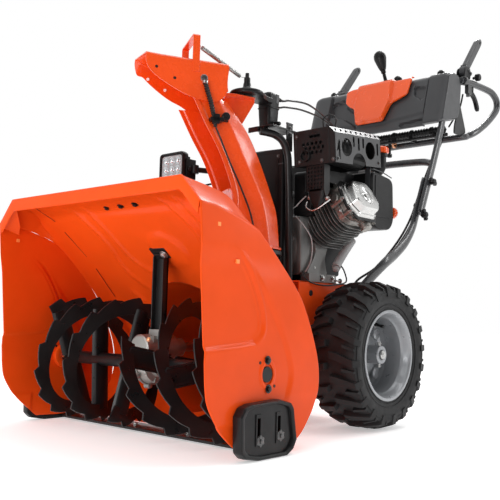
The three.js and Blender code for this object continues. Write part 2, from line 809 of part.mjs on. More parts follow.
function lowerHandle(side) {
  const x = HANDLE_X - TUBE_OFFSET;
  const path = [
    [190, 20, 290],
    [190, 66, 350],
    [212, 104, 406],
    [x, 153, 466],
    [x, 218, 502],
    [x, 282, 545],
    [x, 326, 594],
    [x, ...OVERLAP_LOW],
    [x, ...OVERLAP_HIGH],
  ];
  const lug = box(FRAME_HALF + GAP, 192, 8, 40, 285, 310);
  const tube = bar(path, TUBE_WIDE, TUBE_THIN, 8);
  const left = join(tube, lug);
  return side > 0 ? left : left.mirror([1, 0, 0]);
}

function upperHandle() {
  const x = HANDLE_X + TUBE_OFFSET;
  const path = [
    [x, ...OVERLAP_LOW],
    [x, ...OVERLAP_HIGH],
    [x, 437, 826],
    [x, 470, 902],
    [x, 500, 980],
    [x, 507, 1002],
  ];
  const brace = [
    [-x, 436, 820],
    [-200, 424, 832],
    [0, 420, 834],
    [200, 424, 832],
    [x, 436, 820],
  ];
  const tubes = [path, mirrored(path)].map((points) => bar(points, TUBE_WIDE, TUBE_THIN, 8));
  return join(...tubes, bar(brace, 12, 12, 8, 10));
}

const LOOP_SIDE = [
  [282, 612, 1148],
  [283, 650, 1150],
  [285, 690, 1153],
  [290, 767, 1155],
  [296, 820, 1150],
  [300, 855, 1128],
  [300, 856, 1096],
  [298, 815, 1058],
  [294, 750, 1012],
  [288, 690, 976],
  [272, 650, 957],
  [235, 622, 948],
  [0, 618, 946],
];

// The tube that carries both loops, with the hand levers' and triggers' mounts welded to it.
function loopHandle() {
  const path = [...LOOP_SIDE.slice(0, -1), ...mirrored(LOOP_SIDE).reverse()];
  const mounts = [1, -1].flatMap((side) => [leverMount(side), triggerMount(side)]);
  const stubs = [276, -276].map((x) => rod("y", LOOP_TUBE_R, 600.4, 616, x, 1148, 20));
  return join(bar(path, LOOP_TUBE_R, LOOP_TUBE_R, 8, 46), ...stubs, ...mounts);
}

const LEVER_PIVOT = [266, 650, 1194];
const TRIGGER_PIVOT = [272, 680, 1126];
const JOYSTICK = [4, 556, 1168]; // the point that the stick tilts about
const SPEED_LEVER = [38, 578, 1160];
const CONSOLE_HALF = 282;

function dashConsole() {
  const outer = [
    [449, 968],
    [462, 1012],
    [504, 1152],
    [548, 1168],
    [590, 1160],
    [600, 1130],
    [592, 1050],
    [575, 1000],
  ];
  const inner = [
    [453, 955],
    [453, 968],
    [466, 1012],
    [508, 1149],
    [548, 1164],
    [587, 1157],
    [596, 1130],
    [588, 1051],
    [571, 1001],
    [560, 955],
  ];
  const stickHole = rod("z", 15, 1140, 1200, JOYSTICK[0], JOYSTICK[1], 20);
  const speedHole = rod("z", 8, 1140, 1200, SPEED_LEVER[0], SPEED_LEVER[1], 16);
  const inside = prism("x", inner, 4 - CONSOLE_HALF, CONSOLE_HALF - 4);
  return cut(prism("x", outer, -CONSOLE_HALF, CONSOLE_HALF), inside, stickHole, speedHole);
}

function dashCover() {
  const face = [
    [455, 1004],
    [461.2, 1012],
    [503, 1152.5],
    [540, 1166.5],
    [538, 1172],
    [498, 1160],
    [452, 1012],
  ];
  return prism("x", face, -92, 92);
}

piece(machine, "lower_handle_left", lowerHandle(1), TUBE_GREY);
piece(machine, "lower_handle_right", lowerHandle(-1), TUBE_GREY);
piece(machine, "upper_handle", upperHandle(), TUBE_GREY);
piece(machine, "loop_handle", loopHandle(), TUBE_GREY);
piece(machine, "dash_console", dashConsole(), GREY_PLASTIC);
piece(machine, "dash_cover", dashCover(), ORANGE);

// ---------------------------------------------------------------- controls on the dash
// A hand lever lies over the top bar of its loop and folds down onto it.

function handLever(side) {
  const [x, y, z] = LEVER_PIVOT;
  const blade = [
    [y + 2, z + 12],
    [y + 22, z + 12],
    [y + 128, z + 138],
    [y + 131, z + 148],
    [y + 124, z + 156],
    [y + 112, z + 154],
    [y + 4, z + 34],
  ];
  const hub = rod("x", 15, x - 12, x + 12, y, z, 20);
  const lever = join(prism("x", blade, x - 12, x + 12), hub, box(x - 12, x + 12, y - 2, y + 16, z, z + 22));
  const bored = cut(lever, rod("x", 6.3, x - 20, x + 20, y, z, 16));
  return side > 0 ? bored : bored.mirror([1, 0, 0]);
}

// The pin and cheeks that a hand lever turns on.
function leverMount(side) {
  const [x, y, z] = LEVER_PIVOT;
  const outline = [[y - 34, 1150], [y - 20, z + 8], [y + 8, z + 14], [y + 14, z - 8], [y + 8, 1150]];
  const cheek = (from) => prism("x", outline, from, from + 4);
  const foot = box(x - 17, x + 17, y - 34, y + 6, 1148, 1166);
  const mount = join(cheek(x - 17), cheek(x + 13), rod("x", 6, x - 15, x + 15, y, z, 16), foot);
  return side > 0 ? mount : mount.mirror([1, 0, 0]);
}

// A cheek under the loop's top bar, with the pin that a trigger turns on.
function triggerMount(side) {
  const [x, y, z] = TRIGGER_PIVOT;
  const outline = [[y - 10, z - 8], [y + 8, z - 8], [y + 10, 1148], [y - 12, 1148]];
  const cheek = prism("x", outline, x + 8, x + 12);
  const mount = join(cheek, rod("x", 3, x - 8, x + 10, y, z, 12));
  return side > 0 ? mount : mount.mirror([1, 0, 0]);
}

// A finger trigger hangs under the top bar of its loop.
function trigger(side) {
  const [x, y, z] = TRIGGER_PIVOT;
  const blade = [
    [y - 8, z + 7],
    [y + 18, z + 5],
    [y + 54, z - 20],
    [y + 72, z - 50],
    [y + 66, z - 58],
    [y + 56, z - 54],
    [y + 40, z - 28],
    [y + 8, z - 8],
    [y - 8, z - 7],
  ];
  const lever = cut(prism("x", blade, x - 6, x + 6), rod("x", 3.3, x - 20, x + 20, y, z, 12));
  return side > 0 ? lever : lever.mirror([1, 0, 0]);
}

function joystick() {
  const [x, y, z] = JOYSTICK;
  const knob = lathe("z", [[0, 60], [10, 60], [15, 72], [23, 104], [22, 118], [13, 130], [0, 134]], 12);
  const shaft = rod("z", 6, -19, 66, 0, 0, 12);
  const ball = solidOf(new THREE.SphereGeometry(12, 12, 6));
  return join(knob, shaft, ball).rotate([9, -11, 0]).translate([x, y, z]);
}

// The ring that lets the stick tilt to either side and fore and aft.
function joystickGimbal() {
  const [x, y, z] = JOYSTICK;
  return pipe("z", 20, 15, z - 22, z - 13, x, y, 24);
}

function speedLever() {
  const knob = lathe("z", [[0, 16], [9, 16], [15, 24], [16, 32], [11, 40], [0, 43]], 12);
  return join(knob, rod("z", 5, -12, 20, 0, 0, 12)).translate(SPEED_LEVER);
}

piece(machine, "auger_lever", handLever(1), GREY_PLASTIC);
piece(machine, "drive_lever", handLever(-1), GREY_PLASTIC);
piece(machine, "trigger_left", trigger(1), BLACK);
piece(machine, "trigger_right", trigger(-1), BLACK);
piece(machine, "chute_joystick", joystick(), BLACK);
piece(machine, "joystick_gimbal", joystickGimbal(), BLACK);
piece(machine, "speed_lever", speedLever(), BLACK);

// The control cables: two from the actuator and one down each handle tube to the chassis,
// gathered in a conduit that runs along under the dash.
const CONDUIT = { y: 586, z: 976 };

function controlCables() {
  const { y: conduitY, z: conduitZ } = CONDUIT;
  const chuteRoute = (x, z) => [
    [x, -103.5, z],
    [x, -86, z],
    [x - 6, -30, z + 14],
    [x - 30, 90, z + 34],
    [-62, 250, 990 + (z - 950) * 0.7],
    [-70, 400, 948],
    [-72, 480, 944],
    [-72, 560, 956],
    [-72, conduitY, conduitZ],
  ];
  const clutchRoute = [
    [218, conduitY, conduitZ],
    [228, 540, 925],
    [229, 470, 830],
    [229, 396, 720],
    [228, 340, 628],
    [222, 268, 545],
    [196, 196, 466],
    [160, 150, 425],
    [152, 134, FRAME_TOP + 4],
  ];
  const conduit = rod("x", 15, -222, 222, conduitY, conduitZ, 16);
  const chutePair = [chuteRoute(22, 956), chuteRoute(6, 938)].map((route) => bar(route, 4, 4, 6, 18));
  const clutchPair = [clutchRoute, mirrored(clutchRoute)].map((route) => bar(route, 4, 4, 6, 20));
  return join(conduit, ...chutePair, ...clutchPair);
}

// The deflector's cable runs from its side plate down the chute's left side to the ring.
function deflectorCable() {
  const x = CHUTE_HALF + 12;
  const route = [
    [x, -148, 930],
    [x - 1, -120, 850],
    [x - 3, -82, 760],
    [x - 3, -40, 660],
    [x - 1, -10, 580],
    [x, 2, 520],
    [x, 4, 494],
  ];
  return bar(route, 4, 4, 6, 12);
}

piece(machine, "control_cables", controlCables(), RUBBER);
piece(chuteGroup, "deflector_cable", deflectorCable(), RUBBER);

export default machine;
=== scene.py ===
"""A two-stage snowblower: the looks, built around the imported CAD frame."""

import math

import bmesh
import bpy
import numpy as np
from mathutils import Matrix, Vector
from mathutils.geometry import tessellate_polygon


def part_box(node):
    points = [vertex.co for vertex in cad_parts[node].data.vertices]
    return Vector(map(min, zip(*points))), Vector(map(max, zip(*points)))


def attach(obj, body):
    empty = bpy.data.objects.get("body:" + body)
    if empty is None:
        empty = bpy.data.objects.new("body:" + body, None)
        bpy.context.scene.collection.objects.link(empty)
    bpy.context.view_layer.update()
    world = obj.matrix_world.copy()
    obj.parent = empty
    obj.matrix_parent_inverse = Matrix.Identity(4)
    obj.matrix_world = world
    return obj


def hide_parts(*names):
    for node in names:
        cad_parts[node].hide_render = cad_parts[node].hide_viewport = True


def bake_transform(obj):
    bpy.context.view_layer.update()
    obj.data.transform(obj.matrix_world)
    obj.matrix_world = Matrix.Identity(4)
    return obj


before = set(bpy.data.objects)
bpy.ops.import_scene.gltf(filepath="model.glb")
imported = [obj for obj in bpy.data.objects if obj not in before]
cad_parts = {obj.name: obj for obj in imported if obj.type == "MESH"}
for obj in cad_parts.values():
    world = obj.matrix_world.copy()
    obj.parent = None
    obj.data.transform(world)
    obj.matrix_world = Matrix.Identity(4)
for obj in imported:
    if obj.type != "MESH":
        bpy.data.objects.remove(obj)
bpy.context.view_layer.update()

# Shapes are written in the machine's own millimetres: the ground point under the wheel axle is
# the origin, the intake faces -Y and the operator's left is +X. SHIFT takes them to the frame.
MM = 0.001
axle_low, axle_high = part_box("axle_left")
SHIFT = Vector((0, (axle_low.y + axle_high.y) / 2, 0))

# ---------------------------------------------------------------- shapes: (vertices, faces)
X, Y, Z = np.eye(3)
AXES = {"x": X, "y": Y, "z": Z}


def unit(v):
    return v / np.linalg.norm(v)


def smooth(points, steps=8):
    """Points on a smooth curve through the given ones."""
    p = np.array(points, float)
    p = np.vstack([2 * p[0] - p[1], p, 2 * p[-1] - p[-2]])
    found = []
    for a, b, c, d in zip(p, p[1:], p[2:], p[3:]):
        for t in np.arange(steps) / steps:
            square, cube = 2 * a - 5 * b + 4 * c - d, 3 * b - a - 3 * c + d
            found.append(0.5 * (2 * b + (c - a) * t + square * t**2 + cube * t**3))
    return np.array(found + [p[-2]])


def even(points, count):
    """The polyline's points moved to equal distances along it."""
    p = np.array(points, float)
    run = np.concatenate([[0], np.cumsum(np.linalg.norm(np.diff(p, axis=0), axis=1))])
    at = np.linspace(0, run[-1], count)
    return np.column_stack([np.interp(at, run, p[:, i]) for i in range(p.shape[1])])


def evenly_round(outline, count):
    """A closed outline's points moved to equal distances round it."""
    return even(np.vstack([outline, outline[:1]]), count + 1)[:-1]


def bent(points, radius, steps=6, closed=False):
    """A polyline with every corner rounded."""
    p = np.array(points, float)
    inner = p if closed else p[1:-1]
    before, after = (np.roll(p, 1, 0), np.roll(p, -1, 0)) if closed else (p[:-2], p[2:])
    found = [] if closed else [p[0]]
    for a, corner, b in zip(before, inner, after):
        reach = min(radius, np.linalg.norm(a - corner) * 0.48, np.linalg.norm(b - corner) * 0.48)
        first, last = corner + unit(a - corner) * reach, corner + unit(b - corner) * reach
        found += [
            (1 - t) ** 2 * first + 2 * t * (1 - t) * corner + t * t * last
            for t in np.linspace(0, 1, steps)
        ]
    return np.array(found if closed else found + [p[-1]])


def arc(centre, radius, start, end, count):
    """Points on a circle's arc, angles in degrees."""
    angles = np.radians(np.linspace(start, end, count))
    return [(centre[0] + radius * math.cos(t), centre[1] + radius * math.sin(t)) for t in angles]


def circle(centre, radius, count):
    return arc(centre, radius, 0, 360, count + 1)[:-1]


def loft(rings, closed=False):
    """A skin over rings of equal count, with flat ends, or closed into a loop."""
    n, m = len(rings[0]), len(rings)
    faces = []
    for i in range(m if closed else m - 1):
        a, b = i * n, (i + 1) % m * n
        faces += [(a + j, a + (j + 1) % n, b + (j + 1) % n, b + j) for j in range(n)]
    if not closed:
        faces += [tuple(range(n))[::-1], tuple(range((m - 1) * n, m * n))]
    return np.vstack(rings), faces


def revolve(profile, axis=Z, centre=(0, 0, 0), sides=32, closed=False):
    """A lathe shape: profile is (radius, height along the axis) from one end to the other."""
    axis = unit(np.array(axis, float))
    across = unit(np.cross(axis, X if abs(axis[0]) < 0.9 else Y))
    other = np.cross(axis, across)
    turn = np.arange(sides) * 2 * math.pi / sides
    rings = [
        np.array(centre) + h * axis + r * (np.outer(np.cos(turn), across) + np.outer(np.sin(turn), other))
        for r, h in profile
    ]
    return loft(rings, closed)


def rod(axis, radius, low, high, a=0, b=0, sides=24, edge=0.8):
    """A round bar with softened ends; a and b are its centre in the other two axes."""
    centre = np.insert([float(a), b], "xyz".index(axis), 0)
    profile = [(radius - edge, low), (radius, low + edge), (radius, high - edge), (radius - edge, high)]
    return revolve(profile, AXES[axis], centre, sides)


def ring(axis, outer, inner, low, high, a=0, b=0, sides=32, edge=0.8):
    """A round bar with a hole through it."""
    centre = np.insert([float(a), b], "xyz".index(axis), 0)
    profile = [
        (inner, low + edge), (inner + edge, low), (outer - edge, low), (outer, low + edge),
        (outer, high - edge), (outer - edge, high), (inner + edge, high), (inner, high - edge),
    ]
    return revolve(profile, AXES[axis], centre, sides, closed=True)


def along_path(path):
    """Each point of a path, its direction there, and two directions across it that don't twist."""
    tangents = np.gradient(path, axis=0)
    tangents /= np.linalg.norm(tangents, axis=1)[:, None]
    side = unit(np.cross(tangents[0], X if abs(tangents[0][0]) < 0.8 else Z))
    for at, along in zip(path, tangents):
        side = unit(side - along * np.dot(side, along))
        yield at, along, side, np.cross(along, side)


def tube(points, radius, sides=12, steps=8, flat=None, curve=True):
    """A bar along a smooth path. flat is the half thickness along X of an oval section."""
    path = smooth(points, steps) if curve else np.array(points, float)
    turn = np.arange(sides) * 2 * math.pi / sides
    rings, directions = [], []
    for at, along, across, deep in along_path(path):
        directions.append(along)
        if flat:
            deep = unit(X - along * along[0])
            across = np.cross(deep, along)
        rings.append(
            at + radius * np.outer(np.cos(turn), across) + (flat or radius) * np.outer(np.sin(turn), deep)
        )
    inset = min(radius * 0.25, 1.5)
    for i, sign in ((0, -1), (-1, 1)):
        core = path[i] + (rings[i] - path[i]) * (1 - inset / radius)
        rings.insert(0 if i == 0 else len(rings), core + sign * inset * directions[i])
    return loft(rings)


def prism(axis, outline, low, high, holes=()):
    """An outline pushed along an axis, with holes. Its plane is the other two axes, in X, Y, Z order."""
    loops = [np.array(outline, float)] + [np.array(h, float) for h in holes]
    place = {"x": (1, 2, 0), "y": (0, 2, 1), "z": (0, 1, 2)}[axis]
    flat = np.vstack(loops)
    count = len(flat)
    vertices = np.zeros((2 * count, 3))
    for end, level in ((0, low), (1, high)):
        rows = slice(end * count, (end + 1) * count)
        for column, values in zip(place, (flat[:, 0], flat[:, 1], level)):
            vertices[rows, column] = values
    if holes:
        caps = tessellate_polygon([[Vector((u, v, 0)) for u, v in loop] for loop in loops])
    else:
        caps = [tuple(range(count))]
    faces = [tuple(f) for f in caps] + [tuple(i + count for i in f)[::-1] for f in caps]
    first = 0
    for loop in loops:
        n = len(loop)
        faces += [
            (first + j, first + (j + 1) % n, first + (j + 1) % n + count, first + j + count)
            for j in range(n)
        ]
        first += n
    return vertices, faces


def sliced(outline, levels, middle=None, closed=False):
    """A skin over an outline in the YZ plane; levels are (x, share of its size about its middle)."""
    outline = np.array(outline, float)
    middle = outline.mean(axis=0) if middle is None else np.array(middle, float)
    rows = [np.insert(middle + (outline - middle) * share, 0, x, axis=1) for x, share in levels]
    return loft(rows, closed)


def stacked(axis, levels, radius, steps=5):
    """A skin over rounded rectangles along an axis; levels are (where, u from, u to, v from, v to)."""
    rows = []
    for at, u0, u1, v0, v1 in levels:
        outline = bent([(u0, v0), (u1, v0), (u1, v1), (u0, v1)], radius, steps, True)
        rows.append(np.insert(outline, "xyz".index(axis), at, axis=1))
    return loft(rows)


def block(x0, x1, y0, y1, z0, z1):
    return prism("z", [(x0, y0), (x1, y0), (x1, y1), (x0, y1)], z0, z1)


def shell(grid, thickness):
    """Sheet metal: a grid of points on the outer face, thickened away from (next row) x (next column)."""
    down, across = np.gradient(grid, axis=0), np.gradient(grid, axis=1)
    normal = np.cross(down, across)
    normal /= np.linalg.norm(normal, axis=2)[:, :, None]
    inner = grid - normal * thickness
    rows, columns = grid.shape[:2]
    index = np.arange(rows * columns).reshape(rows, columns)
    back = index + rows * columns
    faces = []
    corners = (index[:-1, :-1], index[1:, :-1], index[1:, 1:], index[:-1, 1:])
    for a, b, c, d in zip(*(corner.ravel() for corner in corners)):
        faces += [(a, b, c, d)]
        faces += [(a + rows * columns, d + rows * columns, c + rows * columns, b + rows * columns)]
    rim = list(index[:, 0]) + list(index[-1, 1:]) + list(index[-2::-1, -1]) + list(index[0, -2:0:-1])
    far = list(back[:, 0]) + list(back[-1, 1:]) + list(back[-2::-1, -1]) + list(back[0, -2:0:-1])
    n = len(rim)
    faces += [(rim[(j + 1) % n], rim[j], far[j], far[(j + 1) % n]) for j in range(n)]
    return np.vstack([grid.reshape(-1, 3), inner.reshape(-1, 3)]), faces


def moved(shape, by=(0, 0, 0), turn=0, axis="z", about=(0, 0, 0)):
    """The shape turned by degrees about a point, then moved."""
    spin = np.array(Matrix.Rotation(math.radians(turn), 3, axis.upper()))
    return (shape[0] - about) @ spin.T + about + np.array(by, float), shape[1]


def mirror(shape):
    """The shape on the machine's other side."""
    return shape[0] * (-1, 1, 1), [f[::-1] for f in shape[1]]


def both(shape):
    return [shape, mirror(shape)]


def on_both_sides(shapes):
    return [s for shape in shapes for s in both(shape)]


def each(place, shapes):
    return [place(s) for s in shapes]


def for_side(shapes, side):
    """Shapes made for the left, as they are or mirrored."""
    return each(mirror, shapes) if side == "right" else shapes


def aimed(shape, centre, axis):
    """A shape made along +Z, put at a centre and aimed along an axis."""
    spin = np.array(Vector(Z).rotation_difference(Vector(axis)).to_matrix())
    return shape[0] @ spin.T + np.array(centre, float), shape[1]


def hexagon(radius, low, high, chamfer=0.8):
    profile = [
        (radius - 2 * chamfer, low), (radius, low + chamfer), (radius, high - chamfer),
        (radius - 2 * chamfer, high),
    ]
    return revolve(profile, sides=6)


def bolt(centre, axis, size=6, tail=0):
    """A hex head on its washer, and the nut and thread end behind if there is a tail."""
    parts = [revolve([(size * 1.5, 0), (size * 1.5, 1.2)], sides=20), hexagon(size, 1.2, 1.2 + size * 0.75)]
    if tail:
        parts.append(revolve([(size * 0.5, -tail), (size * 0.5, 0)], sides=12))
    return [aimed(p, centre, axis) for p in parts]


def bolts(spots, axis, size, tail=0):
    return [part for spot in spots for part in bolt(spot, axis, size, tail)]


# ---------------------------------------------------------------- pieces
def piece(name, shapes, look, body="root", stands_for=(), bevel=0.0, angle=32):
    """One object from shapes in machine millimetres, riding a body, with its material; the look's slot is
    not used.
    A body of (a, b, start, end) is not used to bend it: the object is baked in place and rides no body."""
    shapes = [shapes] if isinstance(shapes, tuple) else list(shapes)
    vertices, faces, count = [], [], 0
    for points, polygons in shapes:
        vertices.append(points)
        faces += [tuple(int(i) + count for i in polygon) for polygon in polygons]
        count += len(points)
    mesh = bpy.data.meshes.new(name)
    mesh.from_pydata((np.vstack(vertices) * MM + np.array(SHIFT)).tolist(), [], faces)
    mesh.validate()
    tidy_normals(mesh)
    made = bpy.data.objects.new(name, mesh)
    bpy.context.scene.collection.objects.link(made)
    material, slot = look
    mesh.materials.append(material)
    mesh.polygons.foreach_set("use_smooth", [True] * len(mesh.polygons))
    mesh.set_sharp_from_angle(angle=math.radians(angle))
    if bevel:
        soft = made.modifiers.new("edges", "BEVEL")
        soft.width, soft.segments, soft.limit_method = bevel * MM, 2, "ANGLE"
        soft.angle_limit, soft.harden_normals = math.radians(angle), True
        soft.use_clamp_overlap = True
    if isinstance(body, tuple):
        a, b, start, end = body
        Vector(start) * MM + SHIFT
        Vector(end) * MM + SHIFT
        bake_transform(made)
    else:
        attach(made, body)
    if stands_for:
        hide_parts(*([stands_for] if isinstance(stands_for, str) else stands_for))
    return made


def tidy_normals(mesh):
    """Turns every face of every closed part outwards."""
    work = bmesh.new()
    work.from_mesh(mesh)
    bmesh.ops.recalc_face_normals(work, faces=work.faces)
    work.to_mesh(mesh)
    work.free()


# ---------------------------------------------------------------- camera, light and floor
CAMERA_AT = (1437.9, -1810.3, 306.3)
CAMERA_TURN, CAMERA_RISE, CAMERA_ROLL = math.radians(41.5), math.radians(4.9), math.radians(1.5)
CAMERA_LENS = 53.8
FLOOR = 14


def add_camera():
    forward = Vector((
        -math.sin(CAMERA_TURN) * math.cos(CAMERA_RISE),
        math.cos(CAMERA_TURN) * math.cos(CAMERA_RISE),
        math.sin(CAMERA_RISE),
    ))
    level = Vector((math.cos(CAMERA_TURN), math.sin(CAMERA_TURN), 0))
    above = level.cross(forward)
    right = level * math.cos(CAMERA_ROLL) + above * math.sin(CAMERA_ROLL)
    up = above * math.cos(CAMERA_ROLL) - level * math.sin(CAMERA_ROLL)
    camera = bpy.data.objects.new("camera", bpy.data.cameras.new("camera"))
    bpy.context.scene.collection.objects.link(camera)
    camera.data.sensor_width, camera.data.lens = 36, CAMERA_LENS
    camera.data.clip_start, camera.data.clip_end = 0.05, 50
    turn = Matrix((right, up, -forward)).transposed().to_4x4()
    camera.matrix_world = Matrix.Translation(Vector(CAMERA_AT) * MM + SHIFT) @ turn
    bpy.context.scene.camera = camera
    bpy.context.scene.view_settings.view_transform = "Standard"


def soft_light(name, at, aim, size, watts):
    lamp = bpy.data.objects.new(name, bpy.data.lights.new(name, "AREA"))
    lamp.data.shape, lamp.data.size, lamp.data.size_y = "RECTANGLE", *size
    lamp.data.energy = watts
    lamp.location = at
    lamp.rotation_euler = (Vector(aim) - Vector(at)).to_track_quat("-Z", "Y").to_euler()
    bpy.context.scene.collection.objects.link(lamp)


def add_world():
    """A white surround, brightest on the side that the camera looks towards."""
    world = bpy.data.worlds.new("studio")
    bpy.context.scene.world = world
    world.use_nodes = True
    nodes, links = world.node_tree.nodes, world.node_tree.links
    towards = nodes.new("ShaderNodeVectorMath")
    towards.operation = "DOT_PRODUCT"
    towards.inputs[1].default_value = (0.62, -0.7, -0.35)
    links.new(nodes.new("ShaderNodeTexCoord").outputs["Generated"], towards.inputs[0])
    dim = nodes.new("ShaderNodeMapRange")
    for socket, value in (("From Min", -0.5), ("From Max", 0.5), ("To Min", 1.0), ("To Max", 0.2)):
        dim.inputs[socket].default_value = value
    links.new(towards.outputs["Value"], dim.inputs["Value"])
    links.new(dim.outputs["Result"], nodes["Background"].inputs["Strength"])
    nodes["Background"].inputs["Color"].default_value = (1, 1, 1, 1)


def add_lights():
    soft_light("key", (0.6, -3.2, 3.2), (0, -0.2, 0.5), (2.6, 2.2), 26)
    soft_light("front_fill", (0.5, -3.2, 0.7), (-0.1, -0.6, 0.3), (1.6, 0.9), 27)
    soft_light("rear_strip", (-0.1, 2.4, 3.1), (0.3, -0.6, 0.5), (1.8, 0.3), 30)
    soft_light("left_strip", (2.6, 2.2, 1.9), (0, 0, 0.7), (0.4, 2.0), 20)
    soft_light("top", (0.6, 0.2, 4.0), (0, 0, 0.4), (1.6, 1.6), 22)


def add_floor():
    mesh = bpy.data.meshes.new("floor")
    corners = [(-FLOOR, -FLOOR, 0), (FLOOR, -FLOOR, 0), (FLOOR, FLOOR, 0), (-FLOOR, FLOOR, 0)]
    mesh.from_pydata(corners, [], [(0, 1, 2, 3)])
    floor = bpy.data.objects.new("floor", mesh)
    bpy.context.scene.collection.objects.link(floor)
    pale = bpy.data.materials.new("pale_floor")
    pale.use_nodes = True
    shade = pale.node_tree.nodes["Principled BSDF"]
    shade.inputs["Base Color"].default_value = (0.93, 0.93, 0.93, 1)
    shade.inputs["Roughness"].default_value = 0.75
    shade.inputs["Emission Color"].default_value = (1, 1, 1, 1)
    shade.inputs["Emission Strength"].default_value = 0.4
    mesh.materials.append(pale)


# ---------------------------------------------------------------- materials
def surface(name, slot, colour, rough, metal=0.0, coat=0.0, grain=(600, 0.02), tint=0.08, tint_scale=9,
            spread=0.08, specular=0.5, dust=0.0):
    """A painted, moulded or cast surface. grain is (bump scale, depth in millimetres); tint is how far the
    colour wanders and spread how far the roughness does; dust pales what faces up."""
    material = bpy.data.materials.new(name)
    material.use_nodes = True
    nodes, links = material.node_tree.nodes, material.node_tree.links
    shade = nodes["Principled BSDF"]
    where = nodes.new("ShaderNodeTexCoord").outputs["Object"]

    def noise(scale, detail=3.0, roughness=0.55):
        node = nodes.new("ShaderNodeTexNoise")
        node.inputs["Scale"].default_value = scale
        node.inputs["Detail"].default_value = detail
        node.inputs["Roughness"].default_value = roughness
        links.new(where, node.inputs["Vector"])
        return node.outputs["Fac"]

    def ranged(source, low, high):
        node = nodes.new("ShaderNodeMapRange")
        node.inputs["From Min"].default_value, node.inputs["From Max"].default_value = 0.3, 0.7
        node.inputs["To Min"].default_value, node.inputs["To Max"].default_value = low, high
        links.new(source, node.inputs["Value"])
        return node.outputs["Result"]

    def blend(factor, first, second):
        node = nodes.new("ShaderNodeMix")
        node.data_type = "RGBA"
        links.new(factor, node.inputs["Factor"])
        for socket, value in ((node.inputs["A"], first), (node.inputs["B"], second)):
            if isinstance(value, tuple):
                socket.default_value = (*value, 1)
            else:
                links.new(value, socket)
        return node.outputs["Result"]

    dark = tuple(c * (1 - tint) for c in colour)
    light = tuple(min(1, c * (1 + tint) + 0.01 * tint) for c in colour)
    shown = blend(ranged(noise(tint_scale), 0, 1), dark, light)
    if dust:
        facing = nodes.new("ShaderNodeNewGeometry").outputs["Normal"]
        split = nodes.new("ShaderNodeSeparateXYZ")
        links.new(facing, split.inputs["Vector"])
        upward = nodes.new("ShaderNodeMath")
        upward.operation, upward.use_clamp = "MULTIPLY", True
        links.new(split.outputs["Z"], upward.inputs[0])
        links.new(ranged(noise(30, 5), 0, dust), upward.inputs[1])
        shown = blend(upward.outputs["Value"], shown, (0.36, 0.34, 0.32))
    links.new(shown, shade.inputs["Base Color"])
    links.new(
        ranged(noise(tint_scale * 4, 4), max(0.02, rough - spread), rough + spread),
        shade.inputs["Roughness"],
    )
    shade.inputs["Metallic"].default_value = metal
    shade.inputs["Coat Weight"].default_value = coat
    shade.inputs["Coat Roughness"].default_value = 0.12
    shade.inputs["Specular IOR Level"].default_value = specular
    bump = nodes.new("ShaderNodeBump")
    bump.inputs["Distance"].default_value = grain[1] * MM
    bump.inputs["Strength"].default_value = 0.6
    links.new(noise(grain[0], 2.0), bump.inputs["Height"])
    links.new(bump.outputs["Normal"], shade.inputs["Normal"])
    return material, slot


ORANGE_PAINT = (0.82, 0.076, 0.006)
ORANGE = surface(
    "orange_powder_coat", "housing_orange", ORANGE_PAINT, 0.36, coat=0.16, grain=(240, 0.05), tint=0.05,
    specular=0.08,
)
CHUTE_ORANGE = surface(
    "chute_powder_coat", "chute_orange", ORANGE_PAINT, 0.25, coat=0.5, grain=(240, 0.04), tint=0.05,
    specular=0.4,
)
COVER_ORANGE = surface(
    "orange_moulding", "orange_plastic", (0.86, 0.095, 0.008), 0.22, coat=0.5, grain=(900, 0.01), tint=0.03,
)
BLACK_PAINT = surface(
    "black_powder_coat", "black_paint", (0.009, 0.009, 0.0095), 0.34, coat=0.12, grain=(420, 0.05),
    tint=0.25, specular=0.3,
)
BLACK_PLASTIC = surface(
    "black_moulding", "black_plastic", (0.006, 0.006, 0.0065), 0.38, grain=(1500, 0.05), tint=0.2,
    specular=0.26,
)
GREY_PLASTIC = surface(
    "grey_moulding", "grey_plastic", (0.04, 0.041, 0.044), 0.36, coat=0.08, grain=(1500, 0.06), tint=0.12,
)
TUBE_GREY = surface(
    "tube_paint", "tube_grey", (0.03, 0.031, 0.034), 0.28, coat=0.35, grain=(420, 0.04), tint=0.12,
)
CAST = surface(
    "cast_aluminium", "cast_metal", (0.42, 0.42, 0.4), 0.5, metal=0.85, grain=(160, 0.35), tint=0.18,
    spread=0.12,
)
ENGINE_GREY = surface(
    "engine_casting", "cast_metal", (0.2, 0.2, 0.195), 0.48, metal=0.75, grain=(160, 0.3), tint=0.3,
    spread=0.12,
)
BRIGHT = surface(
    "polished_aluminium", "bright_metal", (0.56, 0.56, 0.55), 0.24, metal=1.0, grain=(26, 0.03), tint=0.06,
    spread=0.05,
)
STEEL = surface("zinc_steel", "steel", (0.5, 0.5, 0.49), 0.32, metal=1.0, grain=(500, 0.03), tint=0.12)
DARK_STEEL = surface(
    "oiled_steel", "steel", (0.12, 0.12, 0.12), 0.38, metal=0.9, grain=(300, 0.05), tint=0.2,
)
RIM = surface(
    "rim_paint", "rim_grey", (0.3, 0.31, 0.325), 0.33, metal=0.35, coat=0.2, grain=(420, 0.04), tint=0.05,
    dust=0.05,
)
TYRE = surface(
    "tyre_rubber", "tyre", (0.0105, 0.0105, 0.011), 0.6, grain=(700, 0.1), tint=0.3, spread=0.1,
    specular=0.3,
)
RUBBER = surface(
    "cable_rubber", "rubber", (0.01, 0.01, 0.0105), 0.4, grain=(900, 0.03), tint=0.2, specular=0.3,
)
HEATPROOF = surface(
    "heatproof_black", "muffler", (0.006, 0.006, 0.0063), 0.44, grain=(500, 0.1), tint=0.3, spread=0.1,
    specular=0.3,
)
LAMP_SILVER = surface(
    "lamp_reflector", "bright_metal", (0.75, 0.76, 0.78), 0.15, metal=1.0, grain=(80, 0.05), tint=0.04,
)

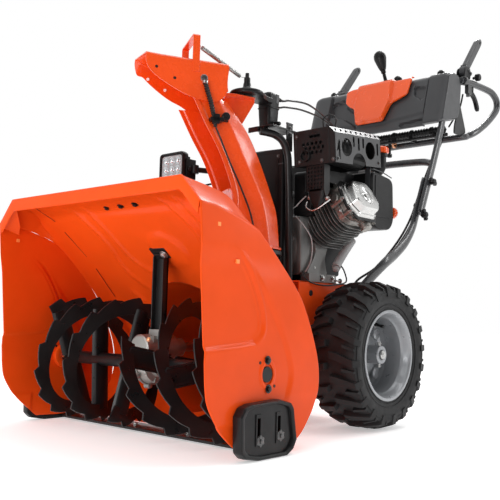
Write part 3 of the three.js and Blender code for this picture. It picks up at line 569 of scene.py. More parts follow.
add_camera()
add_world()
add_lights()
add_floor()

# ---------------------------------------------------------------- auger housing
# HALF is the side plates' distance from the middle, DRUM_R the impeller drum's inner radius.
HALF = 381
HOUSING_REAR = [
    (-587, 490), (-512, 426), (-435, 343), (-386, 251), (-364, 178), (-370, 110), (-396, 66), (-434, 29),
    (-485, 14),
]
AUGER_Y, AUGER_Z, IMPELLER_Z, DRUM_R = -548, 176, 215, 170


def away(points, line):
    """Distance from each point to a polyline, and which side of it the point lies."""
    best, side = np.full(len(points), 1e9), np.zeros(len(points))
    line = np.array(line, float)
    for a, b in zip(line, line[1:]):
        along = b - a
        t = np.clip(((points - a) @ along) / (along @ along), 0, 1)
        offset = points - (a + t[:, None] * along)
        gap = np.hypot(offset[:, 0], offset[:, 1])
        nearer = gap < best
        best[nearer] = gap[nearer]
        side[nearer] = (along[0] * offset[:, 1] - along[1] * offset[:, 0])[nearer]
    return best, np.sign(side)


def step(values, start, end):
    """0 before start, 1 after end, and a smooth slope between."""
    t = np.clip((values - start) / (end - start), 0, 1)
    return t * t * (3 - 2 * t)


PLATE_EDGE = (
    [(-768, 532), (-724, 529), (-674, 518), (-621, 503)]
    + [tuple(p) for p in smooth(HOUSING_REAR, 6)]
    + [(-560, 12)]
    + [tuple(p) for p in smooth([(-628, 14), (-676, 51), (-704, 79), (-732, 123), (-740, 162)], 4)]
    + [(-743, 205), (-742, 235)]
)
POCKET_ARC = smooth(
    [(-668, 458), (-631, 420), (-604, 384), (-579, 337), (-566, 294), (-569, 266), (-590, 246)], 6,
)
POCKET_STEP = [(-590, 246), (-640, 240), (-760, 232)]
MARGIN_ARC = smooth(
    [
        (-660, 452), (-608, 405), (-573, 364), (-537, 317), (-508, 273), (-482, 225), (-467, 172),
        (-484, 110),
    ],
    6,
)


def plate_relief(yz):
    """How far a side plate's pressed panels stand out of its flat."""
    gap, side = away(yz, np.vstack([POCKET_ARC, POCKET_STEP[1:]]))
    inside = (side < 0) & (yz[:, 1] > 225)
    fade = step(yz[:, 1], 200, 240) * (1 - step(yz[:, 1], 395, 455))
    pocket = -5.5 * step(np.where(inside, gap, -gap), -6, 6) * fade
    crease = 1.6 * np.exp(-((gap - 7) / 4) ** 2) * (1 - step(yz[:, 1], 400, 450)) * step(yz[:, 1], 244, 262)
    gap, side = away(yz, MARGIN_ARC)
    beyond = step(np.where(side > 0, gap, -gap), -9, 9)
    margin = 5 * beyond * (1 - step(yz[:, 1], 330, 440)) * step(yz[:, 1], 95, 135)
    corner = np.minimum(step(-yz[:, 0], 640, 652), 1 - step(yz[:, 1], 70, 82))
    boss = 2.2 * (1 - step(np.hypot((yz[:, 0] - AUGER_Y) / 0.8, yz[:, 1] - AUGER_Z - 1), 30, 36))
    return pocket + crease + margin - 4 * corner + boss


def side_plate():
    """The left plate as rings of points that shrink from its outline to the bearing hole."""
    outline = evenly_round(PLATE_EDGE, 300)
    hub = np.array([AUGER_Y, AUGER_Z])
    spokes = outline - hub
    angles = np.arctan2(spokes[:, 1], spokes[:, 0])
    hole = hub + np.column_stack([19 * np.cos(angles), 23 * np.sin(angles)])
    rings = []
    for share in 1 - np.linspace(0, 1, 96):
        yz = hole + (outline - hole) * share
        rings.append(np.column_stack([HALF + plate_relief(yz), yz]))
    rings[0][:, 0] -= 1.0
    outer = np.array(rings)
    inner = outer - (3, 0, 0)
    inner[0] = outer[0] - (1.4, 0, 0)
    return loft([*inner[::-1], *outer], closed=True)


def roof_rows():
    """The wrap's section, centre line and chamfered corners, from the roof's front edge to the floor."""
    rows = [(-767.2, 532, 321, -769.2, 589), (-676, 519, 352, -676, 562), (-645, 510, 364, -645, 537)]
    rows += [(y, z, HALF - 13, y, z) for y, z in HOUSING_REAR]
    return smooth(rows, 10)


RIBS = (
    [(-184, 89), (-161, 150), (-153, 229), (-163, 286), (-161, 324), (-141, 361), (-108, 390)],
    [(-128, 93), (-113, 165), (-110, 251), (-97, 296), (-58, 333)],
    [(-202, 397), (-178, 424), (-140, 455)],
    [(160, 90), (181, 128), (195, 174), (196, 216), (190, 262), (165, 310)],
    [(210, 89), (227, 132), (234, 180), (234, 230), (222, 280), (196, 330)],
    [(202, 397), (178, 424), (140, 455)],
)
BRACE_FOOT = (24, 262)


def wrap_relief(xs):
    """How far the ribs pressed into the wrap stand into the housing; xs is (x, way along the section)."""
    relief = np.zeros(len(xs))
    for rib in RIBS:
        gap, _ = away(xs, smooth(rib, 5))
        relief = np.maximum(relief, 4.5 * (1 - step(gap, 2, 9)))
    dome = np.hypot(xs[:, 0] - BRACE_FOOT[0] - 34, (xs[:, 1] - BRACE_FOOT[1]) * 0.9)
    return relief + 5 * (1 - step(dome, 48, 66)) * (1 - step(xs[:, 1], 290, 330))


def housing_wrap():
    """The wrap as a sheet: its flat middle between two creases, and a chamfer to each side plate."""
    rows = roof_rows()
    run = np.concatenate([[0], np.cumsum(np.hypot(*np.diff(rows[:, 3:5], axis=0).T))])
    half = HALF - 3.3
    across = np.linspace(1, 0, 8)[:-1]
    grid = []
    for (edge_y, edge_z, crease, crease_y, crease_z), s in zip(rows, run):
        middle = np.linspace(crease, -crease, 150)
        fold, edge = np.array([crease, crease_y, crease_z]), np.array([half, edge_y, edge_z])
        left = [tuple(fold + (edge - fold) * t) for t in across]
        flat = [(x, crease_y, crease_z) for x in middle]
        right = [(-x, y, z) for x, y, z in left[::-1]]
        grid.append(left + flat + right)
    grid = np.array(grid)
    down, sideways = np.gradient(grid, axis=0), np.gradient(grid, axis=1)
    normal = np.cross(down, sideways)
    normal /= np.linalg.norm(normal, axis=2)[:, :, None]
    xs = np.column_stack([grid[:, :, 0].ravel(), np.repeat(run, grid.shape[1])])
    relief = wrap_relief(xs).reshape(grid.shape[:2])
    grid -= normal * relief[:, :, None]
    return shell(grid, 2.5)


def cut_drum_hole(wrap):
    """Opens the wrap where the drum joins it."""
    tool = piece("drum_tool", rod("y", DRUM_R, -480, -300, 0, IMPELLER_Z, 96, 0.1), ORANGE)
    hole = wrap.modifiers.new("drum_hole", "BOOLEAN")
    hole.operation, hole.solver, hole.object = "DIFFERENCE", "EXACT", tool
    settle(wrap)
    bpy.data.objects.remove(tool)


def settle(made):
    """Applies a piece's modifiers to its mesh."""
    bpy.context.view_layer.update()
    evaluated = made.evaluated_get(bpy.context.evaluated_depsgraph_get())
    made.data = bpy.data.meshes.new_from_object(evaluated)
    made.modifiers.clear()


def roof_lip():
    """The folded strip along the roof's front edge, down both corners."""
    path = [(HALF - 4, -768.5, 531), (321, -770, 588.5), (-321, -770, 588.5), (4 - HALF, -768.5, 531)]
    rows = []
    for depth, forward in ((0, 1.5), (0, 0), (6, -0.6), (22, -0.6), (27, 0), (28, 2)):
        row = []
        for x, y, z in path:
            drop = depth * (1 if abs(x) < 330 else 0.9)
            row.append((x * (1 - depth * 0.0004), y + forward + 3.1, z - drop))
        rows.append(even(row, 60))
    return shell(np.array(rows), 2.4)


def corner_gusset():
    """The small folded plate under each end of the roof lip."""
    outline = np.array([(312, -764, 578), (374, -764, 521), (374, -712, 506), (345, -728, 528)], float)
    return loft([outline, outline - (0.5, 0, 2.5)])


def seam_slots():
    """The tabs' slots where the wrap's corner strips are welded on."""
    parts = []
    for start, end in (((-726, 577), (-655, 544)), ((-622, 518), (-545, 456)), ((-512, 425), (-440, 348))):
        line = np.array([start, end], float)
        along = unit(line[1] - line[0])
        out = np.array([along[1], -along[0]])
        corners = [line[0] + out * 3.2, line[1] + out * 3.2, line[1] + out * 2, line[0] + out * 2]
        parts += both(prism("x", corners, 289, 290.6))
    return parts


def drum():
    """The impeller drum, from its edge on the wrap to its rear wall."""
    bend = np.linspace(0, 2 * math.pi, 97)[:-1]
    rear = np.array(sorted((z, y) for y, z in HOUSING_REAR))
    edge = np.interp(IMPELLER_Z + DRUM_R * np.sin(bend), rear[:, 0], rear[:, 1]) - 1
    rings = []
    for y, radius in (
        (None, DRUM_R + 3), (-169, DRUM_R + 3), (-166, DRUM_R), (-166, 14), (-169, 14), (-169, DRUM_R),
        (None, DRUM_R),
    ):
        along_y = edge if y is None else np.full(96, y)
        rings.append(np.column_stack([radius * np.cos(bend), along_y, IMPELLER_Z + radius * np.sin(bend)]))
    return loft(rings, closed=True)


wrap = piece("housing_wrap_sheet", housing_wrap(), ORANGE, stands_for="housing_wrap", angle=50)
cut_drum_hole(wrap)
piece("roof_lip_strip", [roof_lip()] + both(corner_gusset()), ORANGE, angle=40)
SHADOW_RED = surface("seam_shadow", "housing_orange", (0.2, 0.012, 0.004), 0.6, tint=0.2)
piece("wrap_seam_slots", seam_slots(), SHADOW_RED)
plate = side_plate()
flange = [ring("x", 34, 14, 366, 378.5, AUGER_Y, AUGER_Z, 40)]
piece("side_plate_left", [plate, *flange], ORANGE, stands_for="housing_side_left", angle=50)
piece(
    "side_plate_right", [mirror(plate), mirror(flange[0])], ORANGE, stands_for="housing_side_right",
    angle=50,
)
piece("impeller_drum_shell", drum(), ORANGE, stands_for="impeller_drum", angle=40)
piece("chute_neck", ring("z", 84, 81, 330, 470, 25, -245, 64), ORANGE)


def bearing_parts():
    """The bolts that hold the auger's bearing flange, and dark discs in the round holes beside it, painted
    as the shade inside them.
    """
    heads, holes = [], []
    for y, z in ((AUGER_Y - 2, AUGER_Z + 31), (AUGER_Y + 2, AUGER_Z - 31)):
        heads += bolt((HALF + 2, y, z), (1, 0, 0), 6.5)
    for y, z in ((AUGER_Y - 25, AUGER_Z + 26), (AUGER_Y + 25, AUGER_Z - 26)):
        holes.append(rod("x", 3.4, HALF - 4, HALF + 1.0, y, z, 16, 0.2))
    return heads, holes


heads, holes = bearing_parts()
piece("bearing_bolts", on_both_sides(heads), BLACK_PAINT, bevel=0.4)
# Dark discs in the round holes and in the bearing's recess: painted shade.
piece("bearing_side_hole_shade", on_both_sides(holes), RUBBER)
piece("bearing_recess_shade", both(rod("x", 17.5, HALF - 8, HALF + 0.3, AUGER_Y, AUGER_Z, 32)), RUBBER)
squares = [
    block(HALF - 6.2, HALF + 0.6, y - 4.2, y + 4.2, z - 4.2, z + 4.2)
    for y, z in ((-712, 489), (-652, 416))
]
# Pale orange squares at the square bolt holes: painted highlight on their edges.
SQUARE_HOLE_HIGHLIGHT = surface("square_hole_painted_highlight", "housing_orange", (0.95, 0.3, 0.07), 0.5, tint=0.05)
piece("square_bolt_hole_highlights", on_both_sides(squares), SQUARE_HOLE_HIGHLIGHT)
piece("scraper_edge", block(-374, 374, -545, -472, 3, 10), BLACK_PAINT, stands_for="scraper_bar", bevel=1)
scraper_bolts = bolts([(x, -508, 10) for x in (-300, -100, 100, 300)], (0, 0, 1), 6.5)
piece("scraper_bolts", scraper_bolts, STEEL)
roof_bolts = bolts([(x, y, 559) for x, y in ((-44, -673), (12, -675), (66, -676))], (0, -0.3, -0.95), 6)
piece("roof_bolts", roof_bolts, BLACK_PAINT)

SHOE_OUTLINE = [
    (-657, 95), (-645, 112), (-622, 119), (-527, 123), (-490, 114), (-480, 103),
    (-467, 31), (-478, 12), (-500, 0), (-597, 0), (-640, 8), (-654, 21),
]
SHOE_BOLTS = (-594, -527)


def skid_shoe():
    """A reversible moulded shoe: a dished face inside a rounded rim, with two slots."""
    outline = evenly_round(SHOE_OUTLINE, 144)
    middle = np.array([-562, 62])
    rim_levels = [
        (381.5, 0.99), (384, 1), (398, 1), (403.5, 0.985), (406, 0.955),
        (406, 0.9), (404, 0.86), (398, 0.84), (384, 0.83), (381.5, 0.84),
    ]
    slots = [[(y - 5, 41), (y + 5, 41), (y + 5, 88), (y - 5, 88)] for y in SHOE_BOLTS]
    face = prism("x", middle + (outline[::3] - middle) * 0.845, 386, 398.5, slots)
    rails = []
    for y, slot in zip(SHOE_BOLTS, slots):
        rails.append(prism("x", [(y - 9, 30), (y + 9, 30), (y + 9, 96), (y - 9, 96)], 398, 400.5, [slot]))
    return [sliced(outline, rim_levels, middle, closed=True), face, *rails]


for name in ("left", "right"):
    piece(
        f"skid_shoe_moulding_{name}", for_side(skid_shoe(), name), BLACK_PLASTIC,
        stands_for=f"skid_shoe_{name}", bevel=0.8,
    )


def star_nut(x, y, z):
    """A star-handled nut with six short lobes."""
    lobes = [moved(rod("z", 3.4, 1.5, 7, 9.5, 0, 12), turn=60 * i) for i in range(6)]
    parts = [revolve([(10, 0), (11, 1.2), (11, 5.5), (8.5, 8)], sides=24), hexagon(5.5, 6, 11), *lobes]
    return [aimed(p, (x, y, z), (1, 0, 0)) for p in parts]


nuts = star_nut(394.8, -588, 40) + star_nut(394.8, -521, 45)
piece("skid_shoe_nuts", on_both_sides(nuts), DARK_STEEL, bevel=0.5)


# ---------------------------------------------------------------- gearbox and brace
strap = [(-541, 262), (-541, 440.5), (-556, 453), (-560, 449), (-548, 438), (-548, 262)]
foot = [(-565.3, 467.3), (-537.9, 443.9), (-541.1, 440.1), (-568.5, 463.5)]
lips = [block(x, x + 3.5, -560, -541, 262, 446) for x in (4, 40.5)]
foot_plate = prism("x", foot, -4, 52)
piece(
    "gearbox_brace_channel", [prism("x", strap, 4, 44), foot_plate, *lips], BLACK_PAINT,
    stands_for="gearbox_brace", bevel=1.2,
)
brace_bolt = bolt((42, -557, 449), (0, -0.65, -0.76), 8, 6)
piece("brace_foot_bolt", brace_bolt, STEEL, bevel=0.4)


CASE_LUGS = [(AUGER_Y + y, AUGER_Z + z) for y, z in arc((0, 0), 55, -150, 0, 4)]


def gearbox_case():
    """Two cast halves with a bolted flange, ribs, and the hubs of both shafts."""
    case = revolve(
        [
            (28, -44), (31, -43), (31, -30), (45, -26), (49, -14), (50, -4), (54, -4), (54, 4), (50, 4),
            (49, 14), (45, 26), (31, 30), (31, 43), (28, 44),
        ],
        X, (0, AUGER_Y, AUGER_Z), 64,
    )
    neck = revolve(
        [
            (30, -592), (34, -589), (35, -560), (37, -545), (35, -500), (33, -484), (26, -480), (24, -453),
            (22, -451),
        ],
        Y, (0, 0, IMPELLER_Z), 48,
    )
    lugs = [rod("x", 7, -9, 9, y, z, 16) for y, z in CASE_LUGS]
    ribs = [moved(block(-30, 30, AUGER_Y - 1.8, AUGER_Y + 1.8, AUGER_Z + 28, AUGER_Z + 47), turn=a, axis="x",
                  about=(0, AUGER_Y, AUGER_Z)) for a in range(30, 360, 45)]
    stand = block(2, 46, -562, -534, 238, 262)
    bridge = block(-22, 32, -572, -518, 222, 246)
    return [case, neck, *lugs, *ribs, stand, bridge]


piece("gearbox_casting", gearbox_case(), CAST, stands_for="auger_gearbox", bevel=1.5)
case_bolts = bolts([(9, y, z) for y, z in CASE_LUGS], (1, 0, 0), 4.5, 20)
COPPER = surface("copper_washer", "steel", (0.75, 0.36, 0.2), 0.3, metal=1.0, grain=(300, 0.03), tint=0.1)
stand_bolts = bolt((46, -548, 250), (1, 0, 0), 5.5) + bolt((34, -590, 238), (0.3, -1, 0.2), 4)
piece("gearbox_bolts", case_bolts, STEEL)
piece("brace_stand_bolts", stand_bolts, COPPER)


# ---------------------------------------------------------------- augers
# A ribbon starts and ends at RIBBON_FROM and RIBBON_TO along the shaft, and crosses the top at PHASE_X.
RIBBON_FROM, RIBBON_TO, PHASE_X, LEAD, AUGER_R, RIBBON = 62, 345, 79, 240, 166, 45
RIGHT_PHASE = 94.5
TOOTH, TOOTH_DEPTH = 360 / 15, 13


def auger_half():
    """One auger about its own axis: a tube, two serrated ribbons and their flat arms."""
    shapes = []
    for start in (0, math.pi):
        rings, degrees = [], (RIBBON_TO - RIBBON_FROM) / LEAD * 360
        stops = [
            round((t + f) * TOOTH, 3)
            for t in range(int(degrees / TOOTH) + 1)
            for f in (0, 0.25, 0.5, 0.8, 0.94)
        ]
        for turn in [s for s in stops if s <= degrees]:
            x = RIBBON_FROM + turn / 360 * LEAD
            angle = math.pi + (x - PHASE_X) / LEAD * 2 * math.pi + start
            notch = np.interp(turn / TOOTH % 1, (0, 0.8, 0.94, 1), (0, TOOTH_DEPTH, 0, 0))
            outer, inner = AUGER_R - notch, AUGER_R - RIBBON
            spoke = np.array([0, math.cos(angle), math.sin(angle)])
            section = [
                (inner, -2.3), (outer - 1, -2.2), (outer, -1.4), (outer, 1.4), (outer - 1, 2.2),
                (inner, 2.3),
            ]
            rings.append(np.array([(x + s, 0, 0) + spoke * r for r, s in section]))
        shapes.append(loft(rings))
        for x in (RIBBON_FROM + 10, (RIBBON_FROM + RIBBON_TO) / 2, RIBBON_TO - 10):
            angle = math.degrees(math.pi + (x - PHASE_X) / LEAD * 2 * math.pi + start)
            profile = [
                (-26, 11), (-23, 4), (-17, 0), (17, 0), (23, 4), (26, 11), (23, 12), (20, 6), (15, 3.5),
                (-15, 3.5), (-20, 6), (-23, 12),
            ]
            arm = loft([np.array([(u - 4 + x, r, v) for v, u in profile]) for r in (10, 16, 128, 134)])
            shapes.append(moved(arm, turn=angle, axis="x"))
    shapes.append(ring("x", 17, 13.4, 48, 356, 0, 0, 40))
    shapes.append(ring("x", 21, 13.4, 48, 66, 0, 0, 40))
    shapes.append(ring("x", 21, 13.4, 340, 356, 0, 0, 40))
    return shapes


def shear_bolts():
    """The bolts that pin one auger's tube to the shaft."""
    shapes = []
    for x in (57, 348):
        shapes.append(rod("z", 4, -24, 24, x, 0, 14))
        shapes += [aimed(hexagon(6.5, 0, 5), (x, 0, 20 * side), (0, 0, side)) for side in (1, -1)]
    return shapes


def on_auger_axis(shape):
    return moved(shape, by=(0, AUGER_Y, AUGER_Z))


def to_right_auger(shape):
    """The other hand, turned so that its ribbons start where the real one's do."""
    return moved(mirror(shape), turn=-RIGHT_PHASE, axis="x")


left_auger = auger_half()
for name, shapes in (("left", left_auger), ("right", each(to_right_auger, left_auger))):
    piece(
        f"auger_{name}_weldment", each(on_auger_axis, shapes), BLACK_PAINT, "auger", f"auger_{name}",
        bevel=0.6, angle=35,
    )
pins = shear_bolts()
pins += each(to_right_auger, pins)
piece("shear_bolts", each(on_auger_axis, pins), COPPER, "auger")


# ---------------------------------------------------------------- impeller
def impeller():
    """Four folded blades on a hub and a round plate."""
    shapes = [ring("y", 24, 12.3, -360, -190, 0, 0, 40), ring("y", 92, 24, -206, -202, 0, 0, 64)]
    blade = prism("y", [(10, -3), (150, -3), (164, 10), (164, 14), (148, 2), (10, 2)], -352, -206)
    return shapes + [moved(blade, turn=-90 * i, axis="y") for i in range(4)]


def on_impeller_axis(shape):
    return moved(shape, by=(0, 0, IMPELLER_Z))


piece(
    "impeller_weldment", each(on_impeller_axis, impeller()), BLACK_PAINT, "impeller", "impeller", bevel=0.8,
)
tips = []
for i in range(4):
    for y in (-330, -235):
        tips += [moved(p, turn=-90 * i, axis="y") for p in bolt((130, y, 2), (0, 0, 1), 6.5)]
piece("impeller_bolts", each(on_impeller_axis, tips), STEEL, "impeller")


# ---------------------------------------------------------------- chute
CHUTE_X, CHUTE_Y = 25, -245
CHUTE_RISE = [
    (491, 92, 52, -58), (584, 82, 36, -58), (643, 63, 17, -62), (739, 25, -32, -98), (815, -14, -68, -141),
    (892, -73, -108, -181),
]


def on_chute(shape):
    """From the chute's own frame, with its turning axis at the origin and -Y ahead."""
    return moved(moved(shape, turn=-30), by=(CHUTE_X, CHUTE_Y, 0))


def chute_spot(x, y, z):
    """A point of the chute's own frame, in the machine's."""
    return tuple(on_chute((np.array([[x, y, z]], float), []))[0][0])


def chute_channel():
    """The folded channel: a faceted back, two walls and a raised strip along each front edge."""
    rows = []
    for z, rear, crease, front in smooth(CHUTE_RISE, 8):
        half = [(83, front, z), (83, front + 13, z), (80, front + 18, z), (80, crease, z), (52, rear, z)]
        rows.append(bent(half + [(-x, y, h) for x, y, h in half[::-1]], 5))
    return shell(np.array(rows)[:, ::-1], 3)


def chute_front():
    """The low front wall with its rolled top edge."""
    low = [(491, -57), (584, -57), (630, -60), (641, -63), (645, -67), (643, -70), (640, -69)]
    return shell(np.array([[(x, y, z) for x in np.linspace(80, -80, 12)] for z, y in low]), 3)


def chute_base():
    """The base ring with its rolled rim and the bolts that hold it down."""
    rim = revolve(
        [(72, 487), (72, 491.5), (101, 491.5), (104, 494), (109, 494), (110, 490), (109, 486.8)], sides=72,
        closed=True,
    )
    heads = bolts([(x, y, 491.5) for x, y in arc((0, 0), 92, 40, 310, 4)], (0, 0, 1), 5)
    return rim, heads


piece("chute_channel", [on_chute(chute_channel()), on_chute(chute_front())], CHUTE_ORANGE, "chute", "chute",
                bevel=0.7, angle=38)
rim, heads = chute_base()
piece("chute_base_ring", on_chute(rim), CHUTE_ORANGE, "chute", bevel=0.5)
piece("chute_base_bolts", each(on_chute, heads), STEEL, "chute")

gusset = bent([(-66, 923), (24, 923), (24, 914), (-12, 848), (-34, 843), (-66, 880)], 4, 4, True)
top = bent([(-34, -72), (34, -72), (34, -40), (20, 22), (-20, 22), (-34, -40)], 8, 5, True)
edge_folds = [
    prism("y", [(x, 914), (x + 2.5, 914), (x + 2.5, 923), (x, 923)], -70, -42)
    for x in (-34, 31.5)
]
bracket = [prism("x", gusset, -2, 2), prism("z", top, 921, 924.5), *edge_folds]
piece("chute_head_bracket", each(on_chute, bracket), CHUTE_ORANGE, "chute", "chute_bracket", bevel=0.7)
pin = revolve([(11, 924.5), (11, 926.5), (8.5, 927), (8.5, 941), (7, 942)], sides=32)
piece("chute_drive_pin", on_chute(pin), STEEL, "chute")


# ---------------------------------------------------------------- deflector
DEFLECTOR_LOW = [
    (-312, 978), (-310, 966), (-303, 950), (-281, 930), (-234, 904), (-189, 886), (-143, 877), (-116, 879),
    (-97, 890), (-86, 904),
]
DEFLECTOR_TOP = [-311, -303, -292, -265, -226, -188, -150, -122, -101, -82]


def deflector_hood():
    """The hood as one folded sheet: near wall, top and far wall, flared at its mouth."""
    low = smooth(DEFLECTOR_LOW, 5)
    high = smooth([(y, 990.5 - (y + 311) * 0.02) for y in DEFLECTOR_TOP], 5)
    rows = []
    for (by, bz), (ty, tz) in zip(low, high):
        flare = 7 * math.exp(-((ty + 311) / 9) ** 2)
        rise = 24 * step(-by, 110, 190) * (1 - step(-by, 285, 310))
        near, far = (
            [(x, by + (ty - by) * t, bz + up + (tz - bz - up) * t) for t in (0, 0.25, 0.5, 0.75, 1)]
            for x, up in ((86, 0), (-86, rise))
        )
        section = bent(near + far[::-1], 7)
        section[:, 0] -= flare * step(-section[:, 0], 78, 86)
        lift = 32 * (max(0, -188 - ty) / 123) ** 1.5 + 4 * math.exp(-((ty + 311) / 7) ** 2)
        section[:, 2] += lift * np.clip((1 - section[:, 0] / 86) / 2, 0, 1)
        rows.append(section)
    return shell(np.array(rows)[::-1], 3)


def deflector_back():
    """The plate that closes the hood behind."""
    section = [(982, -84), (946, -89), (925, -88), (912, -86)]
    rows = [[(x, y + 3 * (x / 83) ** 2, z) for x in np.linspace(83, -83, 16)] for z, y in section]
    return shell(np.array(rows)[::-1], 3)


def deflector_grip():
    """The flat bar that the hood is lifted by."""
    path = bent([(88.3, 955), (88.3, 1058), (-42, 1058), (-42, 989)], 6, 7)
    out = np.array([unit(np.array([-d[1], d[0]])) for d in np.gradient(path, axis=0)])
    section = ((-185, 2), (-165, 2), (-165, -2), (-185, -2))
    return loft(
        [np.array([(p[0] + n[0] * s, y, p[1] + n[1] * s) for y, s in section]) for p, n in zip(path, out)]
    )


hood = [deflector_hood(), deflector_back()]
piece("deflector_hood", each(on_chute, hood), CHUTE_ORANGE, "deflector", "deflector", bevel=0.6, angle=38)
piece("deflector_grip", on_chute(deflector_grip()), CHUTE_ORANGE, "deflector", "deflector_handle", bevel=0.9)
# Dark discs in the near wall's holes: painted shade, the hood's shaded inside seen through them.
holes = [rod("x", 4, 82.8, 89.4, y, z, 20, 0.1) for y, z in ((-282, 955), (-232, 930))]
piece("deflector_near_hole_shade", each(on_chute, holes), RUBBER, "deflector")
# Pale discs in the far wall's holes: painted light, the bright backdrop seen through them.
holes = [rod("x", 4.2, -88.8, -83.8, y, z, 20, 0.1) for y, z in ((-273, 972), (-222, 946))]
HOLE_BACKDROP_LIGHT = surface("painted_light_through_hole", "chute_orange", (0.9, 0.88, 0.86), 0.6, tint=0.02)
piece("deflector_far_hole_light", each(on_chute, holes), HOLE_BACKDROP_LIGHT, "deflector")


def pivot_stud():
    """The washer, ball stud and collar at the hood's pivot."""
    y, z = -151, 940
    washer = revolve([(8.4, 0), (10.2, 0.6), (10.2, 2.6), (8.4, 3.2)], X, (86.6, y, z), 40)
    stud = revolve([(8, 0), (8, 4), (6.5, 6.5), (3, 7.6)], X, (87, y, z), 28)
    return washer, stud, ring("x", 5, 3.2, 88, 92.6, y, z, 24)


washer, stud, stud_ring = pivot_stud()
piece("pivot_washer", on_chute(washer), BRIGHT, "deflector")
piece("pivot_stud", on_chute(stud), DARK_STEEL, "deflector")
piece("pivot_stud_ring", on_chute(stud_ring), COPPER, "deflector")


def boot(points, radius, ribs, steps=90):
    """A corrugated sleeve along a path."""
    turn, rings = np.arange(16) * 2 * math.pi / 16, []
    for i, (at, _, side, other) in enumerate(along_path(even(smooth(points, 8), steps))):
        r = radius * (1 + 0.14 * math.cos(i / steps * ribs * 2 * math.pi))
        rings.append(at + r * (np.outer(np.cos(turn), side) + np.outer(np.sin(turn), other)))
    return loft(rings)


CABLE_TOP = [(95, -150, 930), (95.5, -143, 905), (95, -131, 870), (95, -116, 805)]
CABLE_RUN = [
    (95, -118, 811), (93, -98, 770), (91, -72, 714), (91, -40, 650), (91, -10, 580), (91, 4, 520),
    (91, 5, 496),
]
boot_bend = ("deflector", "chute", chute_spot(91, -150, 930), chute_spot(91, -124, 850))
collar = aimed(revolve([(6.8, 0), (8, 1), (8, 8), (6.8, 9)], sides=28), (95, -150, 922), (0, 0.1, 1))
piece("cable_collar", on_chute(collar), BRIGHT, "deflector")
piece("cable_boot", on_chute(boot(CABLE_TOP[:3] + [(95, -125, 845)], 6.4, 13)), RUBBER, boot_bend)
piece(
    "deflector_cable_run",
    [on_chute(boot([(95, -127, 855), (95, -117, 808)], 5.4, 4)), on_chute(tube(CABLE_RUN, 2.6, 10))],
    RUBBER, "chute", "deflector_cable",
)
clamp = [
    block(81, 102, -132, -96, 823, 833), rod("x", 11.5, 90, 103, -89, 838, 28, 2),
    rod("x", 5.5, 103, 107, -89, 838, 20), block(88, 102, -126, -107, 816, 842),
    block(82.5, 90, -118, -80, 826, 837),
]
piece("cable_clamp", each(on_chute, clamp), BLACK_PLASTIC, "chute", bevel=1)


def spring_coil(start, end, radius, wire, turns):
    """A close-wound spring between two points."""
    start, end = np.array(start, float), np.array(end, float)
    ahead = unit(end - start)
    side = unit(np.cross(ahead, X))
    other = np.cross(ahead, side)
    points = []
    for t in np.linspace(0, 1, turns * 10 + 1):
        a = t * turns * 2 * math.pi
        points.append(start + (end - start) * t + radius * (side * math.cos(a) + other * math.sin(a)))
    return tube(points, wire, 5, 1, curve=False)


spring_from, spring_to = (80, -158, 1026), (10, -26, 985)
hook = tube([(86, -168, 1030), (83, -162, 1029), (80, -158, 1026)], 1.4, 8)
wire = tube([spring_to, (5, -18, 984), (1, -6, 986)], 0.9, 8)
coil = spring_coil(spring_from, spring_to, 5.4, 1.1, 64)
spring_bend = ("deflector", "chute", chute_spot(*spring_from), chute_spot(*spring_to))
piece("deflector_spring_coil", each(on_chute, (coil, hook, wire)), STEEL, spring_bend, "deflector_spring")


# ---------------------------------------------------------------- chute ring, post and actuator
turning_ring = revolve(
    [(76, 470.5), (76, 485), (108, 485), (110.5, 483), (110.5, 473), (108, 470.5)], Z,
    (CHUTE_X, CHUTE_Y, 0), 96, closed=True,
)
teeth = []
for i in range(44):
    tooth = moved(block(107.4, 110.6, -1.6, 1.6, 473, 483), turn=i * 360 / 44)
    teeth.append(moved(tooth, by=(CHUTE_X, CHUTE_Y, 0)))
piece("chute_turning_ring", [turning_ring, *teeth], BLACK_PAINT, stands_for="chute_ring", bevel=0.6)

POST = [
    (90, -114, 404), (89, -118, 600), (86.5, -123, 740), (85, -129, 780), (79, -143, 812), (64, -158, 829),
    (50, -176, 835), (38, -196, 837),
]
shelf = bent([(-4, -200), (84, -200), (84, -82), (-4, -82)], 8, 5, True)
fold = prism("x", [(-200, 852), (-200, 836), (-203.4, 836), (-203.4, 851), (-201, 852)], -3, 34)
post_parts = [
    tube(POST, 11, 28, 8), prism("z", shelf, 848, 852), fold, block(78.2, 82.6, -127, -101, 788, 870),
    block(30, 50, -196, -176, 838, 848.5), rod("z", 16, 403.6, 407, 90, -114, 28),
]
piece("chute_post_tube", post_parts, BLACK_PAINT, stands_for="chute_post", bevel=0.8, angle=40)
# A grey cap along the stay's top edge: painted highlight.
stay_top_highlight = block(77.6, 83.2, -128, -100, 867, 872)
stay_bolts = bolt((83, -114, 856), (1, 0, 0), 4.5) + bolt((83, -114, 838), (1, 0, 0), 4.5)
shelf_bolts = bolts([(x, y, 852) for x, y in ((4, -180), (56, -96), (70, -160))], (0, 0, 1), 4.5)
piece("stay_painted_highlight", stay_top_highlight, GREY_PLASTIC, bevel=1)
piece("post_bolts", stay_bolts + shelf_bolts, DARK_STEEL)


